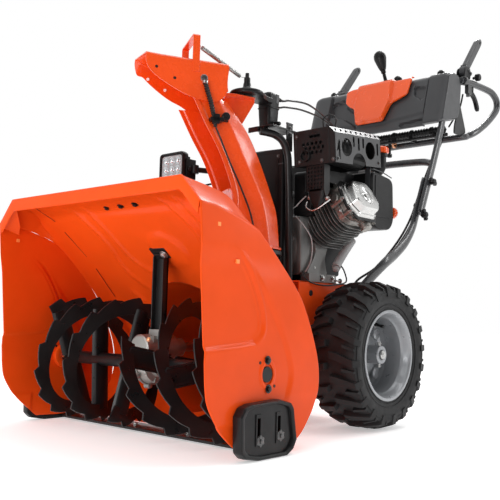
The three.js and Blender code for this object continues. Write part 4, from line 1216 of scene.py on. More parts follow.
def actuator_case():
    """The tapered gearcase, its round head over the chute's pin, and the ribbed plug."""
    case = stacked(
        "z",
        [
            (852.6, -6, 28, -149, -109), (856, -9, 30, -151, -107), (905, -12, 32, -153, -105),
            (945, -14, 34, -154, -104), (962, -14, 34, -154, -104), (968, -10, 30, -150, -108),
        ],
        9,
    )
    neck_rows = []
    for y, half in ((-214, 42), (-190, 30), (-165, 22), (-144, 22)):
        section = [(-half, 932), (half, 932), (half, 945), (half - 6, 951), (6 - half, 951), (-half, 945)]
        neck_rows.append(np.array([(18 + x, y, z) for x, z in section]))
    head = revolve(
        [
            (9.3, 930), (44, 930), (48.5, 931), (50, 934), (50, 939), (47, 943), (38, 946), (24, 949),
            (16, 953), (12, 958), (11, 966), (9.3, 972), (9.3, 984), (6, 988), (5.4, 999), (0.4, 1000),
        ],
        Z, (CHUTE_X, CHUTE_Y, 0), 64,
    )
    nut = aimed(hexagon(9.5, 0, 7), (CHUTE_X, CHUTE_Y, 962), (0, 0, 1))
    ribs = [
        ring("x", r, 3, x, x + 2.2, -128, 872, 20, 0.4)
        for x, r in ((36, 9), (40, 8.4), (44, 7.6), (48, 6.8), (52, 6))
    ]
    plug = rod("x", 5, 28, 56, -128, 872, 20)
    seam = prism("z", bent([(-15, -155), (35, -155), (35, -103), (-15, -103)], 9, 5, True), 921, 923)
    return [case, loft(neck_rows), head, nut, plug, seam, *ribs]


piece("actuator_case", actuator_case(), BLACK_PLASTIC, stands_for="chute_actuator", bevel=0.7, angle=40)
cable_boot = revolve([(8, 0), (8, 5), (6, 8), (6.4, 12), (5, 14), (5.4, 18), (4, 21), (3.4, 28)], sides=20)
piece(
    "actuator_cable_boots",
    [aimed(cable_boot, (x, -104.5, z), (0, 1, 0.04)) for x, z in ((22, 956), (6, 938))], RUBBER,
)
# A grey layer on the case's corner edge: painted highlight.
actuator_edge_highlight = loft(
    [np.array([(34.6, -122, z), (34.6, -110, z), (32, -106, z), (32, -122, z)]) for z in (938, 966)]
)
piece("actuator_edge_painted_highlight", actuator_edge_highlight, GREY_PLASTIC, bevel=0.8)


# ---------------------------------------------------------------- headlight
LAMP = (-228, -280, 736)


def lamp_outline(half, radius, y):
    """A rounded square round the lamp's middle."""
    x, _, z = LAMP
    corners = [(x - half, z - half), (x + half, z - half), (x + half, z + half), (x - half, z + half)]
    return np.insert(bent(corners, radius, 7, True), 1, y, axis=1)


def headlight_parts():
    """The case, its cooling fins, the lens, nine reflector cups, and the yoke and arm that hold it."""
    x, y, z = LAMP
    case = loft(
        [
            lamp_outline(h, r, y + d)
            for h, r, d in (
                (42, 10, -15), (46, 11, -15), (48, 12, -19.5), (51, 13, -20), (52.6, 13, -17), (53, 13, -6),
                (51, 12, 4), (47, 10, 8),
            )
        ]
    )
    fins = []
    for i in range(7):
        half = 43 - 0.3 * i
        left = x - 42 + i * 13.2
        fins.append(block(left, left + 4, y + 6, y + 21, z - half, z + half))
    lens = loft([lamp_outline(43, 10, y - 15.5), lamp_outline(43, 10, y - 14.4)])
    cups = []
    for i in range(3):
        for j in range(3):
            at = (x - 26 + 26 * i, y - 15, z - 26 + 26 * j)
            cups.append(
                revolve(
                    [(12, 0.2), (11.6, 1.6), (9, 0.9), (6, 1.6), (5.2, 4), (3, 5.6), (0.3, 6)], -Y, at, 24,
                )
            )
    yoke = [
        block(x + 53.3, x + 58, y - 8, y + 30, z - 30, z + 30), rod("x", 9, x + 58, x + 63, y + 4, z, 6, 1),
    ]
    arm = prism("z", [(x + 58, y + 29), (x + 62, y + 15), (-103, -128), (-103, -112)], z - 7.6, z + 7.6)
    joint = [rod("z", 12, z - 13, z + 13, x + 62, y + 22, 28), rod("z", 12, z - 11, z + 11, -104, -120, 28)]
    return case, fins, lens, cups, [*yoke, arm, *joint]


case, fins, lens, cups, mount = headlight_parts()
piece("headlight_case", [case, *fins, *mount], BLACK_PLASTIC, stands_for="headlight", bevel=0.7)
LENS_GREY = surface(
    "lamp_face", "bright_metal", (0.5, 0.5, 0.51), 0.35, metal=0.6, grain=(80, 0.05), tint=0.1,
)
piece("headlight_face", lens, LENS_GREY)
piece("headlight_cups", cups, LAMP_SILVER)
lamp_cable = tube(
    [
        (-228, -258, 700), (-190, -230, 690), (-150, -180, 705), (-104, -112, 720), (-92, -108, 700),
        (-88, -112, 640),
    ],
    3, 10,
)
piece("headlight_cable", lamp_cable, RUBBER)


# ---------------------------------------------------------------- chassis and belt drive
def chassis():
    """The folded tub: a slotted top, two walls with axle holes and flanges, and a rear plate."""
    axle_hole = circle((0, 203), 14.5, 32)
    side_outline = bent([(-165.6, 95), (150, 95), (150, 403), (-165.6, 403)], 6, 4, True)
    holes = [circle((-110, 370), 9, 16), circle((-120, 150), 7, 12), circle((110, 330), 7, 12)]
    wall = prism("x", side_outline, 165, 168, [axle_hole, *holes])
    belt_slot = [(-112, -134), (76, -134), (76, -100), (-112, -100)]
    top = prism("z", [(-168, -165.6), (168, -165.6), (168, 150), (-168, 150)], 400, 403, [belt_slot])
    rear = prism("y", [(-168, 95), (168, 95), (168, 403), (-168, 403)], 147, 150)
    lips = [block(-168, 168, 128, 150, 95, 98), *both(block(146, 168, -165.6, 150, 95, 98))]
    bearing = both(ring("x", 34, 14.6, 168, 172, 0, 203, 40))
    return [*both(wall), top, rear, *lips, *bearing]


piece("chassis_tub", chassis(), ORANGE, stands_for="chassis_frame", bevel=0.9, angle=38)
wall_bolts = bolts([(172, 0, 226), (172, 0, 180), (168, 120, 380), (168, -140, 120)], (1, 0, 0), 5.5)
rear_bolts = bolts([(x, 150, 385) for x in (-120, -40, 40, 120)], (0, 1, 0), 5.5)
piece("chassis_bolts", wall_bolts + rear_bolts + each(mirror, wall_bolts), DARK_STEEL)
# A dark plug in the wall's hole: painted shade inside the opening.
opening_shade = rod("x", 8.6, 160, 168.8, -110, 370, 20)
piece("chassis_side_opening_shade", both(opening_shade), RUBBER)


def cover_stack(levels):
    """A part of the belt cover: levels are (y, how far its outline is drawn in)."""
    return stacked("y", [(y, -110 + i, 72 - i, 403.4 + i, 795 - i) for y, i in levels], 12, 6)


cover = cover_stack([(-132, 8), (-131, 2.5), (-127, 0), (-99, 0), (-97, 1.5)])
panel = cover_stack([(-132.6, 16), (-133.6, 15), (-134.2, 22)])
# The grey strip along the lid seam and the grey rod along the top edge are painted highlights.
seam = block(-111, 73, -133.4, -96, 748, 750.5)
cover_top_highlight = tube([(-104, -131.5, 792), (-20, -131.6, 794.4), (66, -131.5, 792)], 1.6, 8)
piece("belt_cover_moulding", [cover, panel], BLACK_PLASTIC, stands_for="belt_cover", bevel=0.7)
piece("belt_cover_seam_highlights", [seam, cover_top_highlight], GREY_PLASTIC, bevel=0.5)
cover_bolts = bolts(
    [(x, -132.5, z) for x, z in ((-92, 772), (56, 772), (56, 440), (-92, 440))], (0, -1, 0), 4,
)
piece("belt_cover_bolts", cover_bolts, DARK_STEEL)

# The CAD nodes that are left showing.
SHOWING = {
    "auger_shaft": STEEL, "impeller_shaft": STEEL, "impeller_pulley": CAST,
    "auger_belt": RUBBER, "engine_pulley": STEEL, "muffler": HEATPROOF,
}
for node, look in SHOWING.items():
    slots = bpy.data.objects[node].data.materials
    slots.clear()
    slots.append(look[0])


# ---------------------------------------------------------------- engine
CYLINDER_AT, CRANK = (0, 35, 516), (0, 0, 505)


def inclined(shape):
    """From the cylinder's own frame, with its bore along +X, to the machine's."""
    return moved(moved(shape, turn=-30, axis="y"), by=CYLINDER_AT)


def engine_case():
    """The crankcase, its round side cover, the tapered foot and the base flange."""
    levels = [
        (y, -98 + i, 105 - i, 425, 600 - i)
        for y, i in ((-78, 8), (-76, 3), (-70, 0), (110, 0), (118, 6))
    ]
    cover = revolve([(60, -84), (84, -82), (88, -79), (92, -78), (92, 100)], Y, CRANK, 72)
    hub = ring("y", 34, 16, -90, -80, 0, 505, 48)
    spokes = [
        moved(block(32, 80, -86, -80, 503.4, 506.6), turn=a, axis="y", about=CRANK)
        for a in range(0, 360, 45)
    ]
    foot = bent(
        [
            (-66, 430), (-62, 440), (-42, 464), (-24, 497), (-34, 523), (48, 530), (36, 517), (20, 480),
            (26, 450), (34, 430),
        ],
        10, 5, True,
    )
    base = prism("x", bent([(-70, 403.4), (64, 403.4), (64, 430), (-70, 430)], 3, 3, True), -108, 130)
    rest = prism("x", bent([(-70, 403.4), (110, 403.4), (110, 428), (-70, 428)], 3, 3, True), -108, 100)
    ribs = [prism("x", [(-79, z), (-84, z + 2), (-79, z + 4)], -90, 60) for z in (440, 456, 560, 576)]
    return [stacked("y", levels, 16), cover, hub, *spokes, prism("x", foot, 60, 120), base, rest, *ribs]


def fin_outline(shrink):
    """A cooling fin's outline, drawn in by an amount."""
    a, low, high = 82 - shrink, -72 + shrink, 78 - shrink
    corners = [(-a, low + 26), (-a + 30, low), (a - 30, low), (a, low + 26), (a, high), (-a, high)]
    return bent(corners, 30, 9, True)


def cylinder():
    """The finned barrel in its own frame."""
    shapes = [prism("x", fin_outline(30), 60, 224)]
    for i in range(10):
        x, shrink = 112 + i * 11.2, 2 * (i % 2)
        levels = ((0, 2), (0.6, 0), (2.4, 0), (3, 2))
        shapes.append(loft([np.insert(fin_outline(shrink + k), 0, x + d, axis=1) for d, k in levels]))
    return shapes


def head():
    """The cylinder head: a lobed casting with bolt bosses, a port and cooling ribs."""
    outline = bent(
        [(-74, -48), (-50, -62), (50, -62), (74, -48), (74, 46), (48, 66), (-48, 66), (-74, 46)], 12, 5,
        True,
    )
    levels = [(216, 0.95), (219, 1), (236, 1), (238, 0.92), (252, 0.9), (254, 0.96), (258, 0.96)]
    bosses = [
        rod("x", 10, 214, 256, y, z, 24, 1.5)
        for y, z in ((-62, -40), (62, -40), (-62, 40), (62, 40), (-72, 2))
    ]
    ribs = [block(240, 250, y, y + 3, -64, 64) for y in range(-60, 64, 12)]
    port = rod("z", 17, -82, -50, 236, 20, 32, 2)
    plug_boss = rod("y", 13, -86, -60, 238, 14, 24, 2)
    return [sliced(outline, levels, (0, 0)), *bosses, *ribs, port, plug_boss]


HEX_COVER = [(-70, -26), (-44, -60), (44, -60), (70, -26), (62, 42), (38, 62), (-38, 62), (-62, 42)]


COVER_OUTLINE = evenly_round(bent(HEX_COVER, 9, 6, True), 96)


def valve_cover():
    """A pressed cover: stepped flanks, and a round dimple with a raised middle."""
    steps = [
        (258.4, 1.0), (261, 1.0), (262.5, 0.985), (263, 0.96), (266, 0.94), (269, 0.93), (270.5, 0.86),
        (273, 0.845), (286, 0.82), (290, 0.8), (292.6, 0.77), (293, 0.745),
    ]
    rings = [np.insert(COVER_OUTLINE * share, 0, x, axis=1) for x, share in steps]
    angles = np.arctan2(COVER_OUTLINE[:, 1], COVER_OUTLINE[:, 0])
    for x, radius in ((292.8, 30), (291, 27), (288.5, 22), (288, 14), (290, 10), (291, 4)):
        rings.append(np.insert(radius * np.column_stack([np.cos(angles), np.sin(angles)]), 0, x, axis=1))
    return loft(rings)


piece("engine_crankcase", engine_case(), ENGINE_GREY, stands_for="engine_block", bevel=1.2, angle=35)
piece("engine_barrel", each(inclined, cylinder()), ENGINE_GREY, bevel=0.4)
HEAD_GREY = surface(
    "head_casting", "cast_metal", (0.3, 0.29, 0.27), 0.42, metal=0.85, grain=(140, 0.5), tint=0.3,
    spread=0.12,
)
piece("engine_head", each(inclined, head()), HEAD_GREY, bevel=1.5, angle=35)
gasket = sliced(COVER_OUTLINE, [(254, 1.1), (255, 1.12), (257.6, 1.12), (259, 1.08)], (0, 0))
piece("valve_cover_gasket", inclined(gasket), BLACK_PLASTIC)
piece("valve_cover_pressing", inclined(valve_cover()), BRIGHT, stands_for="valve_cover", angle=24)
head_bolts = bolts([(256, y, z) for y, z in ((-72, 2), (-62, 40), (-62, -40), (62, -40))], (1, 0, 0), 5.5)
head_bolts += bolts([(232, -75, -26), (232, -75, 30)], (0, -1, 0), 5) + bolt((291, 0, 0), (1, 0, 0), 5)
piece("engine_head_bolts", each(inclined, head_bolts), STEEL, bevel=0.4)
case_studs = bolts([(x, -82, z) for x, z in arc((0, 505), 80, 20, 320, 6)], (0, -1, 0), 4.5)
case_studs += bolts([(130, -4, 419), (130, 48, 419)], (1, 0, 0), 6) + bolt((118, -30, 448), (1, 0, 0), 4)
piece("engine_case_bolts", case_studs, STEEL, bevel=0.4)
# Dark blocks in the base flange's notch and along its foot: painted shade.
notch = block(126, 130.6, -16, 2, 408, 426)
piece("engine_base_notch_shade", [notch, block(128, 131, -60, -22, 404, 406)], RUBBER)

side_shield = prism(
    "x", bent([(20, 430), (34, 430), (112, 430), (118, 560), (60, 566), (40, 520), (16, 480)], 8, 5, True),
    92, 108,
)
air_shield = prism(
    "x",
    bent([(-84, 660), (-84, 735), (118, 746), (118, 590), (96, 590), (70, 690), (-40, 706)], 10, 5, True),
    120, 158,
)
shroud_back = prism("x", bent([(-60, 600), (116, 600), (116, 740), (-60, 736)], 14, 5, True), 60, 124)
piece("engine_air_shields", [side_shield, air_shield, shroud_back], BLACK_PLASTIC, bevel=1.5)
drain_hose = tube([(150, 120, 541), (150, 78, 500), (150, 36, 455)], 13, 28)
HOSE_GREY = surface("hose_grey", "grey_plastic", (0.36, 0.36, 0.36), 0.5, grain=(900, 0.04), tint=0.06)
piece("oil_drain_hose", drain_hose, HOSE_GREY, bevel=0.5)
piece(
    "oil_drain_cap", revolve([(9, 0), (10.5, 2), (10.5, 12), (6, 16)], (0, 0.2, -1), (150, 34, 456), 24),
    HOSE_GREY,
)
drain_bolt = [rod("y", 3, 62, 88, 132, 414, 16), *bolt((132, 84, 414), (0, 1, 0), 5)]
piece("engine_mount_bolt", drain_bolt, STEEL)
loop = tube(
    [
        (150, 30, 464), (160, 50, 456), (172, 54, 432), (176, 50, 408), (177, -14, 397), (177, -70, 394),
        (172, -112, 399), (160, -128, 412), (148, -122, 430),
    ],
    2.3, 8,
)
strand = tube(
    [
        (94, -92, 596), (122, -92, 569), (145, -92, 540), (154, -92, 519), (156, -92, 490), (151, -94, 457),
        (138, -98, 432),
    ],
    1.7, 8,
)
hook = tube([(60, -94, 618), (88, -93, 622), (112, -92, 640), (132, -94, 652)], 1.7, 8)
piece("engine_cable_loop", loop, RUBBER)
piece("engine_wire", [strand, hook], HOSE_GREY)


# ---------------------------------------------------------------- muffler guard and plug shroud
def capsule(u, v, half_length, radius, lean=90.0):
    """A slot's outline: centre, half the straight length, radius and direction in degrees."""
    ends = []
    for sign, first in ((1, lean - 90), (-1, lean + 90)):
        c = (
            u + sign * half_length * math.cos(math.radians(lean)),
            v + sign * half_length * math.sin(math.radians(lean)),
        )
        ends += arc(c, radius, first, first + 180, 7)
    return ends


GUARD_TILT, GUARD_ABOUT = 5.5, (0, 0, 790)


def guard_panels():
    """The guard's pressed panels, before they are tilted with the muffler."""
    front_holes = [
        arc((140 + 15 * i + 7.5 * (j % 2), 783 + 13 * j), 5.6, 0, 300, 6)
        for i in range(5)
        for j in range(3)
    ]
    front_holes.append(capsule(180, 829, 16, 4, 0))
    front = prism(
        "y", bent([(104, 747), (250, 747), (250, 832), (232, 850), (104, 850)], 3, 4, True), -121, -118.6,
        front_holes,
    )
    arch = arc((0, 746), 35, 180, 0, 17)
    face = [(-121, 747)] + arch + [(120, 747), (120, 832), (-121, 832)]
    holes = [circle((y, 793), 26, 32) for y in (-62, 61)]
    holes += [
        capsule(-100, 784, 24, 4.5), capsule(-26, 812, 11, 4.5), capsule(0, 807, 15, 4.5),
        capsule(24, 812, 11, 4.5), capsule(101, 800, 14, 4.5),
    ]
    side = prism("x", face, 247.6, 250, holes)
    edge_slots = [capsule(-104 + 26 * j, 0, 6, 3.4, 45) for j in range(9)]
    edge = prism("x", [(-121, -12.7), (120, -12.7), (120, 12.7), (-121, 12.7)], -1.2, 1.2, edge_slots)
    edge = moved(moved(edge, turn=-45, axis="y"), by=(240.2, 0, 840.2))
    slots = [capsule(118 + 16 * i, -92 + 26 * j, 7, 3.2, 45) for i in range(7) for j in range(8)]
    top = prism("z", [(104, -121), (232, -121), (232, 120), (104, 120)], 847.6, 850, slots)
    rear = prism("y", [(104, 747), (250, 747), (250, 832), (232, 850), (104, 850)], 117.6, 120)
    far = prism("x", [(-121, 747), (120, 747), (120, 850), (-121, 850)], 104, 106.4)
    return front, side, top, edge, rear, far


def tilted(shape):
    """The guard leans forward about its lower edge."""
    return moved(shape, turn=GUARD_TILT, axis="x", about=GUARD_ABOUT)


front, side, top, edge, rear, far = guard_panels()
piece(
    "muffler_guard_box", each(tilted, (front, rear, far)), HEATPROOF, stands_for="muffler_guard", bevel=0.6,
)
GUARD_GREY = surface(
    "guard_face_paint", "muffler", (0.022, 0.022, 0.024), 0.36, coat=0.15, grain=(500, 0.06), tint=0.1,
)
piece("muffler_guard_face", each(tilted, (side, top, edge)), GUARD_GREY, bevel=0.5)
column = [
    block(244, 247, -119.5, -113, 749, 830), block(225, 231, -122.4, -120, 750, 846),
    block(108, 114, -122.2, -120, 750, 846),
]
piece("muffler_guard_folds", each(tilted, column), BLACK_PAINT, bevel=0.8)
guard_bolts = [
    tilted(p)
    for x, z in ((203, 757), (243, 756), (116, 834), (124, 760))
    for p in bolt((x, -121.4, z), (0, -1, 0), 4)
]
guard_bolts += [tilted(p) for y, z in ((-108, 758), (106, 760)) for p in bolt((250, y, z), (1, 0, 0), 4)]
piece("muffler_guard_bolts", guard_bolts, DARK_STEEL)
outlet = ring("y", 17, 14, -128, -96, 148, 764, 32)
piece("muffler_outlet", outlet, HEATPROOF)


def shroud():
    """The plug's shroud: a perforated plate that runs down into a smooth elbow, and a dark block behind the
    holes, painted as the shade inside.
    """
    holes = [circle((154 + 11.2 * i, 727 - 11.4 * j), 3.6, 12) for i in range(5) for j in range(6)]
    plate = prism(
        "y", bent([(144, 736), (208, 736), (206, 660), (150, 660)], 5, 5, True), -112, -109.6, holes,
    )
    cheek = prism(
        "x", bent([(-112, 736), (-84, 736), (-84, 660), (-100, 640), (-112, 662)], 6, 5, True), 205.4, 208,
    )
    elbow = stacked("z", [(666, 148, 207, -112, -84), (650, 150, 204, -112, -86), (634, 156, 196, -111, -88),
                          (620, 163, 188, -108, -92), (613, 167, 184, -105, -95)], 9, 6)
    return [plate, cheek, elbow], block(146, 205, -108, -84, 660, 735)


shapes, back = shroud()
piece("plug_shroud_moulding", shapes, BLACK_PLASTIC, stands_for="plug_shroud", bevel=0.7)
# The dark block behind the holes: painted shade.
piece("plug_shroud_painted_shade", back, HEATPROOF)
clip = tube(
    [
        (142, -100, 634), (142, -106, 620), (152, -108, 610), (166, -107, 606), (184, -104, 612),
        (204, -98, 626), (216, -92, 636),
    ],
    2.4, 12, 8,
)
piece("plug_shroud_clip", clip, BRIGHT)
plug_bolts = bolts([(x, -96, z) for x, z in ((146, 646), (208, 640))], (0, -1, 0), 4.5)
piece("plug_shroud_bolts", plug_bolts, STEEL)


# ---------------------------------------------------------------- recoil, air box, choke, fuel
def recoil_parts():
    """The starter's round housing, and dark bars on its face painted as the shade in its slots."""
    drum = revolve(
        [
            (97.6, 118.6), (98, 121), (98, 152), (94, 160), (86, 164.6), (56, 165), (50, 162), (46, 165),
            (4, 165),
        ],
        Y, CRANK, 72,
    )
    vent_slot_shade = [
        moved(block(60, 82, 163.4, 165.6, 502, 508), turn=a, axis="y", about=CRANK)
        for a in range(30, 390, 24)
    ]
    return drum, vent_slot_shade


drum_shell, vent_slot_shade = recoil_parts()
piece("recoil_drum", drum_shell, BLACK_PLASTIC, stands_for="recoil_housing", bevel=0.8)
piece("recoil_vent_shade", vent_slot_shade, HEATPROOF)
grip_levels = [
    (y, 25 + i, 75 - i, 550 + i, 570 - i)
    for y, i in ((166.2, 3), (168, 0.6), (174, 0), (181, 0.6), (183, 3))
]
grip = [stacked("y", grip_levels, 8), rod("y", 5.2, 131, 167, 50, 560, 16)]
piece("recoil_handle", grip, BLACK_PLASTIC, "recoil_grip", "recoil_grip", bevel=0.6)
rope = tube([(50, 134, 560), (50, 148, 560), (50, 165.5, 560)], 2.4, 12, 8)
piece("starter_rope", rope, HOSE_GREY, ("root", "recoil_grip", (50, 134, 560), (50, 165, 560)))

AIR_BOX = [(118, 596), (118, 755), (240, 742), (246, 608), (226, 580), (152, 574)]
box = sliced(bent(AIR_BOX, 22, 8, True), [(132, 0.97), (136, 1), (212, 1), (219, 0.985), (222, 0.95)])
panel = prism("x", bent([(134, 612), (134, 744), (230, 733), (234, 616)], 10, 6, True), 221, 224)
# A grey strip on the box's front face and a grey rod along its top edge: painted highlights.
lit_front_strip = prism("x", bent([(117, 600), (117, 763), (121, 764), (121, 600)], 1.5, 3, True), 196, 214)
piece("air_box_moulding", [box, panel], BLACK_PLASTIC, stands_for="carburettor_box", bevel=1.0)
edge = tube([(216, 121, 760), (218, 180, 757), (217, 238, 748)], 1.8, 8)
piece("air_box_highlights", [lit_front_strip, edge], GREY_PLASTIC, bevel=0.6)
knob = revolve([(14, 256.4), (17, 258), (17, 270), (14, 275), (4, 276)], Y, (205, 0, 640), 36)
grips = [
    moved(block(204, 206, 260, 272, 655.5, 658), turn=a, axis="y", about=(205, 0, 640))
    for a in range(0, 360, 20)
]
piece("choke_knob_moulding", [knob, *grips], COVER_ORANGE, "choke_knob", "choke_knob", bevel=0.5)


def tank():
    """The tank's two moulded boxes with their seam, and the bent filler neck."""
    body = [(z, -150 + i, 96 - i, 152 + i, 280 - i)
            for z, i in ((640, 12), (644, 3), (655, 0), (775, 0), (786, 4), (790, 12))]
    front = [
        (z, -120 + i, 80 - i, 62 + i, 170)
        for z, i in ((700, 8), (704, 0), (780, 0), (788, 5), (790, 10))
    ]
    seam = prism("z", bent([(-151, 151), (97, 151), (97, 281), (-151, 281)], 30, 8, True), 712, 716)
    neck = tube(
        [(60, 230, 765), (112, 256, 768), (150, 268, 786), (156, 268, 812), (156, 268, 838)], 19.5, 28, 8,
    )
    collar = ring("z", 23, 15, 828, 838.6, 156, 268, 36)
    return [stacked("z", body, 30, 8), stacked("z", front, 20, 6), seam, neck, collar]


piece("fuel_tank_moulding", tank(), BLACK_PLASTIC, stands_for="fuel_tank", bevel=0.8)
cap = revolve([(22, 839.6), (27, 841), (27, 856), (24, 860), (18, 862), (3, 862)], Z, (156, 268, 0), 48)
lugs = [
    moved(block(181.5, 184, 265.5, 270.5, 842, 856), turn=a, about=(156, 268, 0))
    for a in range(0, 360, 30)
]
piece(
    "fuel_cap_moulding", [cap, *lugs, block(136, 176, 264, 272, 860, 862)], COVER_ORANGE, "fuel_cap",
    "fuel_cap", bevel=0.6,
)


# ---------------------------------------------------------------- wheels
def tread_block(outline, low, high):
    """A lug: its outline is (x, degrees round the tyre), between two radii, with sloped flanks."""
    rings = []
    for radius, grow in ((low - 4, 1.1), (high - 2, 1.0), (high, 0.95)):
        middle = np.mean(outline, axis=0)
        ring_points = []
        for x, a in (middle + (np.array(outline) - middle) * grow):
            drop = max(0, abs(x) - 48) * 0.3 + max(0, abs(x) - 62) * 0.45
            t = math.radians(a)
            ring_points.append((x, (radius - drop) * math.cos(t), (radius - drop) * math.sin(t)))
        rings.append(np.array(ring_points))
    return loft(rings)


def tyre():
    """The carcass in its own frame, axle along X, with two staggered rows of slanted lugs."""
    carcass = [
        (117, -67), (129, -67.5), (131, -70), (136, -70), (150, -75), (170, -76.5), (180, -73), (186, -62),
        (188, -40), (188, 40), (186, 62), (180, 73), (170, 76.5), (150, 75), (136, 70), (131, 70),
        (129, 67.5), (117, 67),
    ]
    shapes = [revolve(carcass, X, sides=112, closed=True)]
    for i in range(20):
        for side, shift in ((1, 0), (-1, 9)):
            start = i * 18.0 + shift
            lug = [
                (side * 6, start - 3.4), (side * 30, start - 2.6), (side * 76, start + 3.2),
                (side * 76, start + 8.6), (side * 34, start + 3.6), (side * 6, start + 1.4),
            ]
            shapes.append(tread_block(lug if side > 0 else lug[::-1], 184, 203))
            stub = [
                (side * 44, start + 8.8), (side * 74, start + 11.6), (side * 74, start + 13.6),
                (side * 44, start + 11.4),
            ]
            shapes.append(tread_block(stub if side > 0 else stub[::-1], 184, 199))
    for radius, wall in ((140, 72.6), (172, 76.6)):
        shapes += [
            ring("x", radius + 1, radius - 1, side * wall - 0.6, side * wall + 0.6, 0, 0, 96, 0.4)
            for side in (1, -1)
        ]
    return shapes


def rim():
    """The pressed rim: beads, steps, a domed web with four round humps, and the hub."""
    outer = [
        (124.5, -70.5), (124.5, -67.6), (116.5, -67.6), (116.5, 67), (124.5, 67.6), (124.5, 70.5),
        (117, 70.5), (112, 64), (110, 52), (104.5, 44), (103.5, 30), (106, 20), (106, -8), (110, -40),
        (111, -66), (117, -70.5),
    ]
    web = [
        (106, -6), (103, -19), (96, -25), (84, -26), (72, -22), (60, -11), (48, -5), (32, -4), (24, -4),
        (24, -8), (32, -8), (48, -9), (60, -15), (72, -26), (84, -30), (97, -29), (106, -22),
    ]
    hub = ring("x", 25.5, 13.2, -40, 46, 0, 0, 48, 2)
    hump = [(17, -10), (15.5, -6.5), (11, -4.5), (4, -4.2)]
    humps = [revolve(hump, X, (0, y, z), 32) for y, z in arc((0, 0), 78, 45, 315, 4)]
    return [revolve(outer, X, sides=112, closed=True), revolve(web, X, sides=112, closed=True), hub, *humps]


def hub_parts():
    """The axle's end, the pin that drives the hub, and the valve's stem."""
    axle = [revolve([(12.5, -282), (12.5, 50), (10.5, 52)], X, sides=36), rod("x", 6, 40, 53.5, 0, 0, 24)]
    pin = [
        rod("z", 4, -30, 30, 36, 0, 20), *bolt((36, 0, 30), (0, 0, 1), 5),
        *bolt((36, 0, -30), (0, 0, -1), 5),
    ]
    stem = revolve(
        [(5.5, 0), (5, 5), (4, 6), (4, 20), (5, 21), (5, 30), (3, 31)], (1, 0, -0.25), (-4, 0, 95), 20,
    )
    return axle, pin, [moved(stem, turn=-28, axis="x")]


tyre_shapes, rim_shapes = tyre(), rim()
axle, pin, stem = hub_parts()
for name, side in (("left", 1), ("right", -1)):
    body = f"wheel_{name}"

    def on_wheel(shape):
        """From the wheel's own frame, with its outer face towards +X."""
        return moved(moved(shape, turn=0 if side > 0 else 180), by=(side * 288.5, 0, 203))

    piece(
        f"tyre_moulding_{name}", each(on_wheel, tyre_shapes), TYRE, body, f"tyre_{name}", bevel=0.9,
        angle=40,
    )
    piece(f"rim_pressing_{name}", each(on_wheel, rim_shapes), RIM, body, f"rim_{name}", bevel=0.5, angle=30)
    piece(f"axle_bar_{name}", each(on_wheel, axle), STEEL, body, f"axle_{name}", bevel=0.4)
    piece(f"hub_pin_{name}", each(on_wheel, pin), STEEL, body)
    piece(f"valve_stem_{name}", each(on_wheel, stem), RUBBER, body)


# ---------------------------------------------------------------- handle tubes
INNER_TUBE, OUTER_TUBE = 242.4, 257.6
OVERLAP = [(352, 645), (408, 765)]
LOWER_PATH = [(190, 20, 290), (190, 66, 350), (212, 104, 406)]
LOWER_PATH += [(INNER_TUBE, y, z) for y, z in [(153, 466), (218, 502), (282, 545), (326, 594)] + OVERLAP]
UPPER_PATH = [(OUTER_TUBE, y, z) for y, z in OVERLAP + [(437, 826), (470, 902), (500, 980), (507, 1002)]]
foot_lug = prism("x", bent([(6, 283), (42, 283), (42, 312), (6, 312)], 6, 4, True), 168.4, 192)
lower_tube = [tube(LOWER_PATH, 17, 20, 10, flat=7.2), foot_lug]
upper_tube = tube(UPPER_PATH, 17, 20, 10, flat=7.2)
lug_bolts = bolt((192, 24, 298), (1, 0, 0), 6)
for name in ("left", "right"):
    shapes = for_side(lower_tube, name)
    piece(f"lower_tube_{name}", shapes, TUBE_GREY, stands_for=f"lower_handle_{name}", bevel=0.5, angle=45)
piece("lower_tube_bolts", lug_bolts + each(mirror, lug_bolts), DARK_STEEL)
BRACE_HALF = [(252, 436, 822), (238, 431, 829), (200, 425, 832), (100, 421, 834)]
brace = tube(BRACE_HALF + [(0, 420, 834)] + [(-x, y, z) for x, y, z in BRACE_HALF[::-1]], 12, 24, 8)
piece("upper_tubes", [*both(upper_tube), brace], TUBE_GREY, "handle", "upper_handle", bevel=0.5, angle=45)


def wing_knob(x, y, z, turn):
    """A two-winged clamp knob on its bolt."""
    wings = [(-19, -4), (-16, -7), (-8, -6), (0, -10), (8, -6), (16, -7), (19, -4)]
    wings += [(-u, -v) for u, v in wings]
    spin = [
        (u * math.cos(turn) - v * math.sin(turn), u * math.sin(turn) + v * math.cos(turn))
        for u, v in wings
    ]
    body = prism("z", spin, 5, 15)
    return [
        aimed(p, (x, y, z), (1, 0, 0))
        for p in (body, revolve([(9, 0), (10, 2), (10, 14), (8, 19), (3, 20)], sides=28))
    ]


knobs = [s for y, z, a in ((350, 640, 0.5), (404, 756, 1.2)) for s in wing_knob(264.8, y, z, a)]
piece("wing_knobs", on_both_sides(knobs), BLACK_PLASTIC, "handle", bevel=1)
knob_bolts = [aimed(hexagon(6, 0, 5), (235.2, y, z), (-1, 0, 0)) for y, z in ((350, 640), (404, 756))]
piece("wing_knob_bolts", on_both_sides(knob_bolts), STEEL)

LOOP_SIDE = [
    (282, 612, 1148), (283, 650, 1150), (285, 690, 1153), (290, 767, 1155), (296, 816, 1150),
    (300, 849, 1128), (300, 850, 1096), (298, 813, 1058), (294, 750, 1012), (288, 690, 976),
    (272, 650, 957), (235, 622, 948),
]
loop_path = LOOP_SIDE + [(-x, y, z) for x, y, z in LOOP_SIDE[::-1]]
LEVER_AT, TRIGGER_AT = (266, 650, 1194), (272, 680, 1126)


